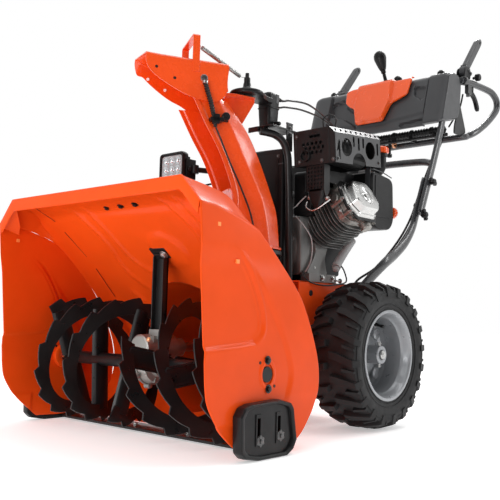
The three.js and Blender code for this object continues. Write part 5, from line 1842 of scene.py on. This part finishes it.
def lever_mount():
    """The cast cheeks, hub and foot that a hand lever turns in, and the trigger's bracket below."""
    x, y, z = LEVER_AT
    cheek = bent(
        [
            (y - 34, 1150), (y - 24, z + 4), (y - 4, z + 17), (y + 16, z + 8), (y + 18, z - 12),
            (y + 8, 1150),
        ],
        10, 5, True,
    )
    parts = [
        prism("x", cheek, x - 17, x - 13), prism("x", cheek, x + 13, x + 17),
        rod("x", 6, x - 17, x + 19, y, z, 20), block(x - 17, x + 17, y - 34, y + 6, 1148, 1162),
    ]
    x, y, z = TRIGGER_AT
    hang = bent([(y - 10, z - 8), (y + 8, z - 8), (y + 10, 1148), (y - 12, 1148)], 5, 4, True)
    return [*parts, prism("x", hang, x + 8, x + 12), rod("x", 3, x - 8, x + 14, y, z, 14)]


loop_ends = both(rod("y", 12, 600.6, 616, 276, 1148, 24))
piece(
    "loop_tube", [tube(loop_path, 12, 24, 8), *loop_ends], TUBE_GREY, "handle", "loop_handle", bevel=0.4,
    angle=45,
)
mounts = lever_mount()
piece("lever_mounts", on_both_sides(mounts), BLACK_PLASTIC, "handle", bevel=1)
clamps = [
    ring("y", 15.5, 12, 608, 622, 282, 1148, 28), block(276, 290, 634, 660, 1108, 1140),
    rod("z", 7, 1098, 1112, 283, 646, 20),
]
clamps += bolt((283, 664, 1187), (1, 0, 0), 5.5)
piece("lever_clamps", on_both_sides(clamps), DARK_STEEL, "handle", bevel=0.8)
end_knob = [rod("x", 13, 286, 304, 700, 1180, 28, 3), rod("x", 5, 276, 290, 700, 1180, 16)]
piece("lever_side_knobs", on_both_sides(end_knob), BLACK_PLASTIC, "handle", bevel=1)


# ---------------------------------------------------------------- dash
CONSOLE = bent(
    [(449, 968), (462, 1012), (504, 1152), (548, 1168), (590, 1160), (600, 1130), (592, 1050), (575, 1000)],
    12, 6, True,
)
SHIELD = [(-83, 1076), (-79, 1160), (64, 1160), (70, 1074), (46, 1010), (-64, 1010)]
COVER = [
    (-66, 1006), (46, 1006), (71, 1071), (131, 1095), (136, 1130), (141, 1156), (69, 1166), (-81, 1168),
    (-90, 1158), (-134, 1150), (-130, 1103), (-106, 1083), (-87, 1074),
]
LEFT_POCKET = [
    (-200, 1120), (-140, 1129), (-137, 1100), (-110, 1076), (-94, 1068), (-74, 1000), (-92, 1020),
    (-134, 1046), (-194, 1064),
]
RIGHT_POCKET = [(147, 1126), (194, 1117), (194, 1080), (184, 1070), (154, 1092)]
LOWER_POCKET = [(108, 990), (198, 998), (198, 982), (114, 978)]


def within(points, outline, soft):
    """1 inside an outline and 0 outside, with a soft edge."""
    loop = np.array(outline, float)
    gap, _ = away(points, np.vstack([loop, loop[:1]]))
    inside = np.zeros(len(points), bool)
    for a, b in zip(loop, np.roll(loop, -1, 0)):
        if a[1] != b[1]:
            crosses = (a[1] > points[:, 1]) != (b[1] > points[:, 1])
            inside ^= crosses & (points[:, 0] < a[0] + (points[:, 1] - a[1]) * (b[0] - a[0]) / (b[1] - a[1]))
    return step(np.where(inside, gap, -gap), -soft, soft)


def dash_relief(x, z):
    """How far the dash's face stands back from its outline: pockets, the seam of each end and the folds."""
    xz = np.column_stack([x, z])
    depth = 13 * within(xz, LEFT_POCKET, 3) + 11 * within(xz, RIGHT_POCKET, 3) + 9 * within(
        xz, LOWER_POCKET, 2.5,
    )
    depth += 8 * (1 - step(np.abs(x), 203, 207))
    depth += 6 * np.exp(-((np.abs(x) - 203) / 2) ** 2)
    fold = 1010 + np.maximum(0, np.abs(x) - 60) * 0.09
    return depth + 4 * (1 - step(z, fold - 9, fold)) * (1 - step(np.abs(x), 198, 208))


def console():
    """The dash moulding as rings along its width, with rounded ends."""
    profile = evenly_round(CONSOLE, 140)
    middle = np.array([528, 1066])
    xs = [(-282, 0.02), (-282, 0.45), (-282, 0.8)]
    for t in np.linspace(0, 90, 9):
        xs.append((-256 - 26 * math.cos(math.radians(t)), 1 - 0.13 * (1 - math.sin(math.radians(t)))))
    xs += [(x, 1) for x in np.linspace(-253, 253, 171)]
    xs += [(-x, k) for x, k in xs[:12][::-1]]
    rings = []
    for x, k in xs:
        ring_points = middle + (profile - middle) * k
        ahead = step(-ring_points[:, 0] + (ring_points[:, 1] - 1012) * 0.3, -490, -476)
        depth = dash_relief(np.full(len(ring_points), x), ring_points[:, 1]) * ahead
        lift = 3.5 * (1 - step(np.array([abs(x)]), 203, 209))[0] * (1 - ahead)
        down = lift * step(ring_points[:, 1], 1120, 1160)
        moved_in = np.column_stack(
            [ring_points[:, 0] + depth * 0.957, ring_points[:, 1] - depth * 0.287 - down]
        )
        rings.append(np.insert(moved_in, 0, x, axis=1))
    return loft(rings)


def face_spot(x, z, height):
    """A point on the dash's face, or on its top where the face folds over, raised by a height."""
    over = np.maximum(0, z - 1154)
    y = 462 + 0.3 * (np.minimum(z, 1154) - 1012) + over * 1.9
    up = np.minimum(z, 1154) + over * 0.45
    turn = step(z, 1148, 1164)
    return np.column_stack(
        [
            x, y - height * (0.957 * (1 - turn) + 0.34 * turn),
            up + height * (0.287 * (1 - turn) + 0.94 * turn),
        ]
    )


def cover_shape():
    """The orange cover: two wings and a raised shield with bevelled edges, folded over the dash's top."""
    outline = evenly_round(bent(COVER, 9, 5, True), 160)
    middle = np.array([0, 1096])
    rings = []
    for k, h in [(1.0, 0), (1.0, 4.5), (0.992, 6.2)] + [(k, 7) for k in np.linspace(0.98, 0.03, 34)]:
        spots = middle + (outline - middle) * k
        raised = 13 * within(spots, SHIELD, 4) - 2 * within(spots, SHIELD, 14) if h == 7 else 0
        height = np.full(len(spots), float(h)) + raised
        rings.append(face_spot(spots[:, 0], spots[:, 1], height))
    return loft(rings)


piece("dash_moulding", console(), GREY_PLASTIC, "handle", "dash_console", angle=28)
piece("dash_cover_moulding", cover_shape(), COVER_ORANGE, "handle", "dash_cover", angle=24)
cover_knob = aimed(revolve([(5, 0), (5, 4), (3, 6)], sides=20), (130, 526, 1164), (0, -0.3, 1))
piece("dash_cover_clips", cover_knob, COVER_ORANGE, "handle")
switches = [rod("z", 13, 1150, 1176, 228, 548, 32, 4), rod("z", 9, 1172, 1179, 228, 548, 28, 3)]
piece("dash_knobs", on_both_sides(switches), BLACK_PLASTIC, "handle", bevel=1)
slots = [
    block(-30, 40, 540, 552, 1164, 1169), ring("z", 26, 16, 1164, 1170, 4, 556, 40),
    ring("z", 14, 8.5, 1158, 1164, 38, 578, 28),
]
piece("dash_gates", slots, BLACK_PLASTIC, "handle", bevel=0.8)


# ---------------------------------------------------------------- levers, triggers, joystick
def hand_lever():
    """A tapered flat blade with a rounded tip on its hub."""
    x, y, z = LEVER_AT
    blade = bent(
        [
            (y - 12, z + 12), (y + 20, z + 6), (y + 128, z + 136), (y + 131, z + 150), (y + 118, z + 156),
            (y + 100, z + 146),
        ],
        14, 7, True,
    )
    levels = [(x - 9, 0.92), (x - 8, 0.97), (x - 5, 1), (x + 5, 1), (x + 8, 0.97), (x + 9, 0.92)]
    inset = blade.mean(axis=0) + (blade - blade.mean(axis=0)) * 0.72
    hub = [rod("x", 20, x - 12, x + 12, y, z, 36, 2), block(x - 11, x + 11, y - 6, y + 14, z, z + 24)]
    return [sliced(blade, levels), prism("x", inset, x - 9.6, x + 9.6), *hub]


def trigger_shape():
    """A curved finger blade on its small hub."""
    x, y, z = TRIGGER_AT
    blade = smooth(
        [
            (y - 8, z + 7), (y + 18, z + 6), (y + 46, z - 10), (y + 66, z - 34), (y + 72, z - 50),
            (y + 66, z - 58), (y + 56, z - 52), (y + 42, z - 28), (y + 22, z - 12), (y, z - 8),
            (y - 8, z - 6),
        ],
        4,
    )
    levels = [(x - 6, 0.9), (x - 4.5, 0.99), (x + 4.5, 0.99), (x + 6, 0.9)]
    return [sliced(blade, levels), rod("x", 8, x - 6, x + 6, y, z, 24, 1)]


x, y, z = LEVER_AT
tip = aimed(
    revolve([(10.6, -16), (11, -6), (9.6, 1), (6, 5), (1, 6)], sides=32), (x, y + 119, z + 145),
    (0, 0.64, 0.77),
)
for name, side in (("auger", "left"), ("drive", "right")):
    body = f"{name}_lever"
    piece(f"{name}_lever_blade", for_side(hand_lever(), side), GREY_PLASTIC, body, body, bevel=0.6)
    piece(f"{name}_lever_tip", for_side([tip], side), BLACK_PLASTIC, body)
for side in ("left", "right"):
    body = f"trigger_{side}"
    piece(f"trigger_blade_{side}", for_side(trigger_shape(), side), BLACK_PLASTIC, body, body, bevel=0.6)


def on_joystick(shape):
    """From the joystick's own frame, with its pivot at the origin, to where it rests in its gimbal."""
    return moved(moved(moved(shape, turn=9, axis="x"), turn=-11, axis="y"), by=(4, 556, 1168))


knob = revolve(
    [
        (9, 60), (11, 61), (15, 72), (19, 88), (22.4, 102), (23, 109), (21.6, 119), (17.5, 127),
        (10, 132.5), (1, 134),
    ],
    sides=48,
)
wires = [tube([(3.4 * side, 0, -14), (3.4 * side, 0, 30), (2.4 * side, 0, 66)], 3.4, 14) for side in (-1, 1)]
sleeve = revolve([(7.5, 48), (9, 50), (9, 60), (8, 62)], sides=28)
pivot_ball = revolve([(0.5, -12), (7, -9.5), (11, -4), (12, 0), (11, 4), (7, 9.5)], sides=32)
piece(
    "joystick_moulding", each(on_joystick, (knob, *wires, sleeve, pivot_ball)), BLACK_PLASTIC, "joystick",
    "chute_joystick", bevel=0.3,
)
bellows = revolve([(8, 20), (11, 16), (9, 13), (12.5, 9), (10, 7), (12.5, 4)], sides=32)
piece("joystick_bellows", on_joystick(bellows), RUBBER, "joystick")
piece(
    "joystick_ring", ring("z", 20, 15, 1146, 1155, 4, 556, 48), BLACK_PLASTIC, "gimbal", "joystick_gimbal",
    bevel=0.5,
)
ball = revolve(
    [(5, -12), (5, 16), (9, 16), (13, 19), (16, 26), (16, 31), (13, 37), (8, 41.6), (1, 43)],
    centre=(38, 578, 1160), sides=40,
)
piece("speed_lever_moulding", ball, BLACK_PLASTIC, "speed_lever", "speed_lever", bevel=0.3)


# ---------------------------------------------------------------- cables
# Each cable's ends, on the handle, which slides, and on the chassis: given, though the cables stay fixed and
# do not bend.
CLUTCH_BEND = ("handle", "root", (200, 586, 976), (150, 134, 407))
CHUTE_BEND = ("handle", "root", (-70, 400, 948), (30, -60, 950))


def chute_cable(x, z):
    """The route of one of the actuator's two cables, up to the conduit."""
    return [
        (x, -80, z), (x - 1, -66, z + 4), (x - 6, -30, z + 14), (x - 30, 90, z + 34),
        (-62, 250, 990 + (z - 950) * 0.7), (-70, 400, 948), (-72, 480, 944), (-72, 560, 956),
        (-72, 586, 976),
    ]


CLUTCH = [
    (218, 586, 976), (228, 540, 925), (229, 470, 830), (229, 396, 720), (228, 340, 628), (222, 268, 545),
    (196, 196, 466), (160, 150, 425), (152, 134, 407),
]
conduit = boot(
    [(-222, 586, 976), (-100, 586, 976), (0, 586, 976), (100, 586, 976), (222, 586, 976)], 13, 40, 330,
)
piece("cable_conduit", conduit, RUBBER, "handle", "control_cables")
pair = [tube(chute_cable(22, 956), 3.2, 12), tube(chute_cable(6, 938), 3.2, 12)]
piece("chute_cables", pair, RUBBER, CHUTE_BEND)
clutch = [
    tube(CLUTCH, 3.6, 12),
    tube([(x + 6, y + 9, z + 3) for x, y, z in CLUTCH[:7]] + [(178, 166, 440)], 2.4, 12),
]
piece("clutch_cables", on_both_sides(clutch), RUBBER, CLUTCH_BEND)
slack = [(-36 + 26 * math.cos(t), 250 + 6 * math.sin(2 * t), 962 + 34 * math.sin(t))
         for t in np.linspace(0, 2 * math.pi, 25)]
piece("cable_slack_loop", tube(slack, 2.6, 12), RUBBER, CHUTE_BEND)
hanger = [
    block(18, 30, 574, 586, 950, 990), rod("z", 5, 905, 962, 8, 574, 20),
    rod("z", 9, 898, 912, 8, 574, 24, 2),
]
piece("conduit_hanger", hanger, BLACK_PAINT, "handle", bevel=0.8)
piece("conduit_grommet", ring("x", 13, 6, 20, 28, 580, 946, 32), COPPER, "handle")
clips = [ring("x", 16.5, 13, x, x + 9, 586, 976, 28) for x in (-180, -60, 90, 170)]
piece("conduit_clips", clips, BLACK_PLASTIC, "handle", bevel=0.6)
lead = [(266, 640, 1108), (262, 626, 1060), (250, 608, 1020), (236, 592, 984)]
piece("lever_cables", both(tube(lead, 3, 12)), RUBBER, "handle")
cheek = bent(
    [(599, 1075), (626, 1020), (648, 975), (640, 952), (560, 950), (566, 985), (593, 1040)], 10, 5, True,
)
under = both(prism("x", cheek, 268, 273)) + [
    block(x, x + 4, 560, 612, 946, 968)
    for x in (-150, -40, 96, 190)
]
under += [rod("x", 6, -200, 225, 604, 962, 20, 1), rod("x", 4.5, -120, 200, 566, 952, 16, 1)]
piece("dash_underframe", under, BLACK_PAINT, "handle", bevel=0.8)
tie = revolve([(12, -3), (13, -3), (13, 3), (12, 3)], sides=28, closed=True)
for x, y, z in ((239, 436, 775), (238, 368, 674)):
    piece(f"cable_tie_{z}", both(aimed(tie, (x, y, z), (0, 0.5, 0.87))), RUBBER, "handle")
